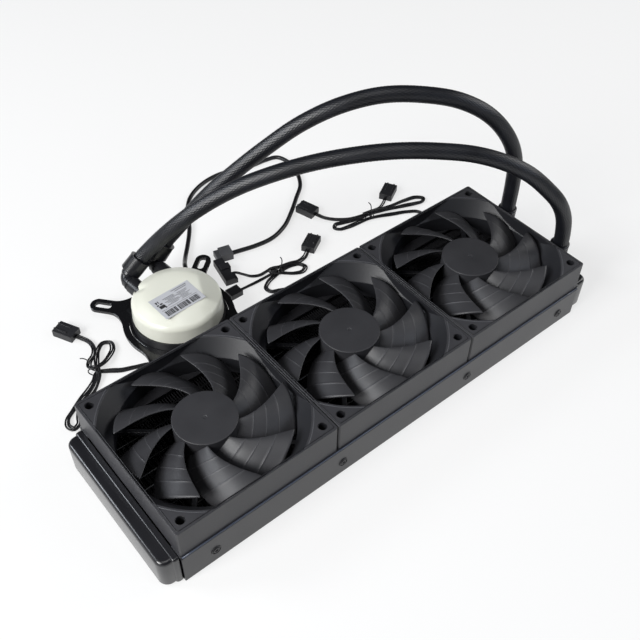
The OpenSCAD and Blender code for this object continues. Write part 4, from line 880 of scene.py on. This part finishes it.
plain_sleeve = rounded_profile(
    [(0.0062, 0), (0.0082, 0), (0.0082, 0.0128), (0.0085, 0.0128), (0.0085, 0.0132),
     (0.0062, 0.0132)], [0, 0.0006, 0.0001, 0.0001, 0.0004, 0], steps=4)
ribbed = [(0.0062, 0.027), (0.0070, 0.027)]
for k in range(7):
    low = 0.0285 + 0.0026 * k
    ribbed += [(0.0069, low), (0.0073, low + 0.0004), (0.0073, low + 0.0012),
               (0.0069, low + 0.0016)]
ribbed = np.array(ribbed + [(0.0072, 0.0468), (0.0074, 0.0472), (0.0074, 0.0488),
                            (0.0062, 0.0490)])
parts = [turned_along(plain_sleeve, near_elbow + 0.007 * near_way, near_way, 64),
         turned_along(plain_sleeve, far_elbow + 0.007 * far_way, far_way, 64)]
for port_y in port_rows:
    points, faces = turned(ribbed, 48)
    ends = [np.arange(48)[::-1], (len(ribbed) - 1) * 48 + np.arange(48)]
    parts.append((points + [port_x, port_y, 0], list(faces) + ends))
points, faces = joined(parts)
collars = new_piece("hose_sleeves", points, faces, satin_black)
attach(collars, "radiator")
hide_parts("hose_collars")

# Rail screws
# Four on each rail hold it to the core. They are black steel, with a low round head that has
# a ring groove and a hollow.
rail_screw_places = (-0.157, -0.056, 0.061, 0.161)
screw_head = rounded_profile(
    [(0.0001, 0.0001), (0.0010, 0.0001), (0.0012, 0.0006), (0.0021, 0.0006), (0.0023, 0.0001),
     (0.0029, 0.0001), (0.0030, 0.0006), (0.0034, 0.0006), (0.0037, 0), (0.0037, -0.0004),
     (0.0001, -0.0004)],
    [0, 0.0001, 0.0002, 0.0002, 0.0001, 0.0001, 0.0002, 0.0003, 0.0002, 0, 0], steps=3)[::-1]
parts = []
for x in rail_screw_places:
    for side in (-1, 1):
        parts.append(turned_along(screw_head, (x, side * 0.0610, 0.012), (0, side, 0), 32))
points, faces = joined(parts)
rail_screws = new_piece("rail_screws", points, faces, black_steel)
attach(rail_screws, "radiator")
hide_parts("side_rail_screws")

# Cap label
# A silver-grey printed sheet is stuck on the crown. Its marks are plain rules, blocks and
# bars of ink, a hair above the sheet.
label_middle = np.array([-0.0705, 0.1115, 0.0366])
label_way, label_rise = heading(3, 0), heading(93, 0)
label_paper = speckled("label_paper", (0.50, 0.51, 0.54), (0.56, 0.57, 0.60), 0.34, 0.0008,
                       0.000004, coat=0.3)
label_ink = speckled("label_ink", (0.02, 0.02, 0.022), (0.04, 0.04, 0.043), 0.4, 0.0008,
                     0.000002)


def label_block(left, low, wide, high, lift, thick):
    """A flat block on the label, from its lower left corner, in millimetres on the sheet."""
    x = np.array([left, left + wide, left + wide, left]) * 0.001
    y = np.array([low, low, low + high, low + high]) * 0.001
    flat = label_middle + x[:, None] * label_way + y[:, None] * label_rise
    top, bottom = flat + [0, 0, lift + thick], flat + [0, 0, lift]
    faces = [[4, 5, 6, 7], [3, 2, 1, 0]]
    faces += [[k, (k + 1) % 4, 4 + (k + 1) % 4, 4 + k] for k in range(4)]
    return np.concatenate([bottom, top]), faces


def label_piece(name, blocks, lift, thick, material):
    """Several blocks as one piece that lies on the cap."""
    points, faces = [], []
    for k, block in enumerate(blocks):
        corners, sides_of_it = label_block(*block, lift, thick)
        points.append(corners)
        faces += [[8 * k + i for i in f] for f in sides_of_it]
    piece = new_piece(name, np.concatenate(points), faces, material, smooth=False)
    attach(piece, "radiator")
    return piece


label_piece("label_sheet", [(-17.5, -11.8, 35, 23.6)], -0.00008, 0.00015, label_paper)
bars = [(-14.6, -0.9, 4.6, 3.2), (-15.2, 2.9, 1.6, 1.4), (-12.6, 2.9, 2.2, 1.4),
        (-11, -1.9, 1.4, 1.2), (-14.8, 5.2, 1.2, 2.2), (-12.9, 5.2, 0.7, 2.6),
        (1.2, 9.6, 13.5, 0.55), (3.4, 8.0, 10.6, 0.45), (-15.5, -3.4, 31, 0.25)]
for k in range(7):
    bars.append((-8.5 + 1.5 * (k % 3), 6.4 - 1.25 * k, 9.5 - 1.2 * (k % 2), 0.42))
    bars.append((3.4 + 0.8 * (k % 2), 5.4 - 1.2 * k, 8.8 - 1.3 * (k % 3), 0.38))
place = -14.6
for k in range(44):
    wide = 0.3 + 0.2 * ((k * 7) % 4)
    if k % 12 != 11:
        bars.append((place, -10.2, wide, 5.6))
    place += wide + 0.18 + 0.12 * ((k * 5) % 3)
    if place > 14.4:
        break
label_piece("label_marks", bars, 0.00007, 0.00003, label_ink)

# Processor bracket
# A pressed plate round the housing, painted gloss black. Its four arms draw in from the ring
# to slotted round ends, and every edge is rolled.
bracket_curve = bpy.data.curves.new("bracket_outline", "CURVE")
bracket_curve.dimensions = "2D"
bracket_curve.fill_mode = "BOTH"
bracket_curve.extrude = 0.0010
bracket_curve.bevel_depth = 0.0005
bracket_curve.bevel_resolution = 3


def closed_outline(points):
    """One closed chain of straight steps in the bracket's flat outline."""
    chain = bracket_curve.splines.new("POLY")
    chain.points.add(len(points) - 1)
    chain.points.foreach_set("co", np.concatenate(
        [points, np.zeros((len(points), 1)), np.ones((len(points), 1))], axis=1).ravel())
    chain.use_cyclic_u = True


def turned_flat(points, degrees):
    """Flat points turned about the pump's axis."""
    a = math.radians(degrees)
    return points @ np.array([[math.cos(a), math.sin(a)], [-math.sin(a), math.cos(a)]])


arm_turn = 40
arm_end = (0.065, 0)
slot_start = (0.057, 0)
slot_radius = 0.0030
s = np.linspace(0.3, 1, 14)
upper = np.stack([0.035 + 0.020 * s, 0.0064 + 0.0176 * (1 - s)**2.2], axis=1) - [0, 0.0005]
tip = arc(arm_end, 0.0059, 80, -80, 15)
lower = upper[::-1] * [1, -1]
outline = []
for k in range(4):
    outline.append(turned_flat(np.concatenate([lower[::-1], tip[::-1], upper[::-1]]),
                               arm_turn + 90 * k))
    outline.append(turned_flat(arc((0, 0), 0.0425, 24, 66, 20), arm_turn + 90 * k))
closed_outline(np.concatenate(outline))
closed_outline(arc((0, 0), 0.0360, 0, 355, 72))
for k in range(4):
    slot = np.concatenate([arc(arm_end, slot_radius, -90, 90, 12),
                           arc(slot_start, slot_radius, 90, 270, 12)])
    closed_outline(turned_flat(slot, arm_turn + 90 * k))
    slit = np.concatenate([arc((0, 0), 0.0385, 22, 68, 18), arc((0, 0), 0.0372, 68, 22, 18)])
    closed_outline(turned_flat(slit, arm_turn + 90 * k))
flat_bracket = bpy.data.objects.new("flat_bracket", bracket_curve)
plate_mesh = flat_bracket.to_mesh()
corners = np.empty(len(plate_mesh.vertices) * 3)
plate_mesh.vertices.foreach_get("co", corners)
corners = corners.reshape(-1, 3) + pump_middle + [0, 0, 0.0085]
faces = [tuple(f.vertices) for f in plate_mesh.polygons]
flat_bracket.to_mesh_clear()
bracket_plate = new_piece("bracket_plate", corners, faces, bracket_paint, smooth=False)
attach(bracket_plate, "radiator")
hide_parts("mounting_bracket")

# Plugs
# Small moulded nylon connectors on the ends of the leads, black ones for the fans and the
# power lead and a grey one for the pump.
plug_plastic = speckled("plug_plastic", (0.012, 0.012, 0.014), (0.020, 0.020, 0.023), 0.42,
                        0.0004, 0.00001, edge=0.0003)
grey_plug = speckled("grey_plug", (0.08, 0.08, 0.085), (0.11, 0.11, 0.115), 0.42, 0.0004,
                     0.00002)
for node in ("fan_1_plug", "fan_2_plug", "fan_3_plug", "fan_3_branch_plug", "power_block",
             "power_socket"):
    dress(node, plug_plastic)
dress("pump_plug", grey_plug)

# Twist ties
# A thin plastic-coated wire goes twice round each hank and is twisted on itself, with two
# stray ends.
def wound_tie(foot, azimuth, width, high):
    """A wire wound round a bundle that is flat on the floor: two turns of an oval that drift
    along the bundle, then a stray end that rises and bends away."""
    a = np.linspace(-0.5 * np.pi, 4.3 * np.pi, 110)
    x = 0.0016 * np.sin(a / 4.3) + 0.00035 * a - 0.0015
    y = width * np.cos(a)
    z = 0.0010 + high * (1 + np.sin(a)) / 2
    last = np.array([x[-1], y[-1], z[-1]])
    u = np.linspace(0.05, 1, 22)[:, None]
    stray = last + u * [0.003, 0.011, 0.0015] + np.sin(np.pi * u) * [0.0015, 0, 0.0012]
    line = np.concatenate([np.stack([x, y, z], axis=1), stray])
    way, aside = heading(azimuth, 0), heading(azimuth + 90, 0)
    line = foot + line[:, :1] * way + line[:, 1:2] * aside + line[:, 2:] * [0, 0, 1]
    smooth = smooth_line(line[::3], 0.0006)
    return closed_sweep(smooth, np.array([0.31, 0.22, 0.92]), 0.00045, 8)


points, faces = joined([
    wound_tie(np.array([-0.1426, 0.1180, 0]), 40.6, 0.0036, 0.0042),
    wound_tie(np.array([0.0266, 0.1178, 0]), -18.4, 0.0034, 0.0038),
    wound_tie(np.array([0.1319, 0.1244, 0]), -11.7, 0.0036, 0.0042)])
twist_ties = new_piece("twist_ties", points, faces, cable_sheath)
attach(twist_ties, "radiator")
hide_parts("cable_ties")

# Floor and light
# A pale floor under an even sky. A broad soft key stands on the left, with weaker lamps at
# the left rear, above, in front and on the right.
floor_paper, nodes, links = principled("floor_paper")
shader = nodes["Principled BSDF"]
shader.inputs["Base Color"].default_value = (0.90, 0.90, 0.895, 1)
shader.inputs["Roughness"].default_value = 0.9
shader.inputs["Specular IOR Level"].default_value = 0.1
ray = nodes.new("ShaderNodeLightPath")
seen = nodes.new("ShaderNodeMath")
seen.operation = "MAXIMUM"
links.new(ray.outputs["Is Camera Ray"], seen.inputs[0])
links.new(ray.outputs["Is Glossy Ray"], seen.inputs[1])
glow = nodes.new("ShaderNodeEmission")
glow.inputs["Color"].default_value = (1, 1, 1, 1)
links.new(seen.outputs["Value"], glow.inputs["Strength"])
blend = nodes.new("ShaderNodeMixShader")
blend.inputs["Fac"].default_value = 0.66
links.new(shader.outputs["BSDF"], blend.inputs[1])
links.new(glow.outputs["Emission"], blend.inputs[2])
links.new(blend.outputs["Shader"], nodes["Material Output"].inputs["Surface"])
floor = new_piece("floor", [(-4, -4, 0), (4, -4, 0), (4, 4, 0), (-4, 4, 0)], [(0, 1, 2, 3)],
                  floor_paper, smooth=False)

sky = bpy.data.worlds.new("studio_sky")
sky.use_nodes = True
bpy.context.scene.world = sky
nodes, links = sky.node_tree.nodes, sky.node_tree.links
even = nodes["Background"]
even.inputs["Color"].default_value = (0.95, 0.97, 1, 1)
ray = nodes.new("ShaderNodeLightPath")
white = nodes.new("ShaderNodeBackground")
white.inputs["Strength"].default_value = 1
even.inputs["Strength"].default_value = 0.05
choice = nodes.new("ShaderNodeMixShader")
links.new(ray.outputs["Is Camera Ray"], choice.inputs["Fac"])
links.new(even.outputs["Background"], choice.inputs[1])
links.new(white.outputs["Background"], choice.inputs[2])
links.new(choice.outputs["Shader"], nodes["World Output"].inputs["Surface"])


def soft_lamp(name, place, aim, size, watts, colour):
    """A square lamp at a place, turned to face the aim."""
    data = bpy.data.lights.new(name, "AREA")
    data.size = size
    data.energy = watts
    data.color = colour
    lamp = bpy.data.objects.new(name, data)
    bpy.context.collection.objects.link(lamp)
    lamp.location = place
    way = np.array(aim, float) - place
    lamp.rotation_euler = (math.atan2(math.hypot(way[0], way[1]), -way[2]), 0,
                           math.atan2(way[1], way[0]) - math.pi / 2)


soft_lamp("key_lamp", (-1.5, -0.05, 1.1), (0, 0.05, 0), 0.8, 31, (1, 1, 1))
soft_lamp("edge_lamp", (-1.1, 0.95, 0.95), (0, 0, 0), 0.5, 9, (0.88, 0.93, 1))
soft_lamp("top_lamp", (-0.2, -0.3, 1.8), (0, 0.05, 0), 0.9, 5.5, (1, 1, 1))
soft_lamp("front_lamp", (0.75, -1.25, 0.95), (0, 0, 0), 0.5, 3.5, (0.8, 0.87, 1))
soft_lamp("right_lamp", (1.5, -0.35, 0.9), (0.1, 0.05, 0), 0.8, 8, (1, 1, 1))
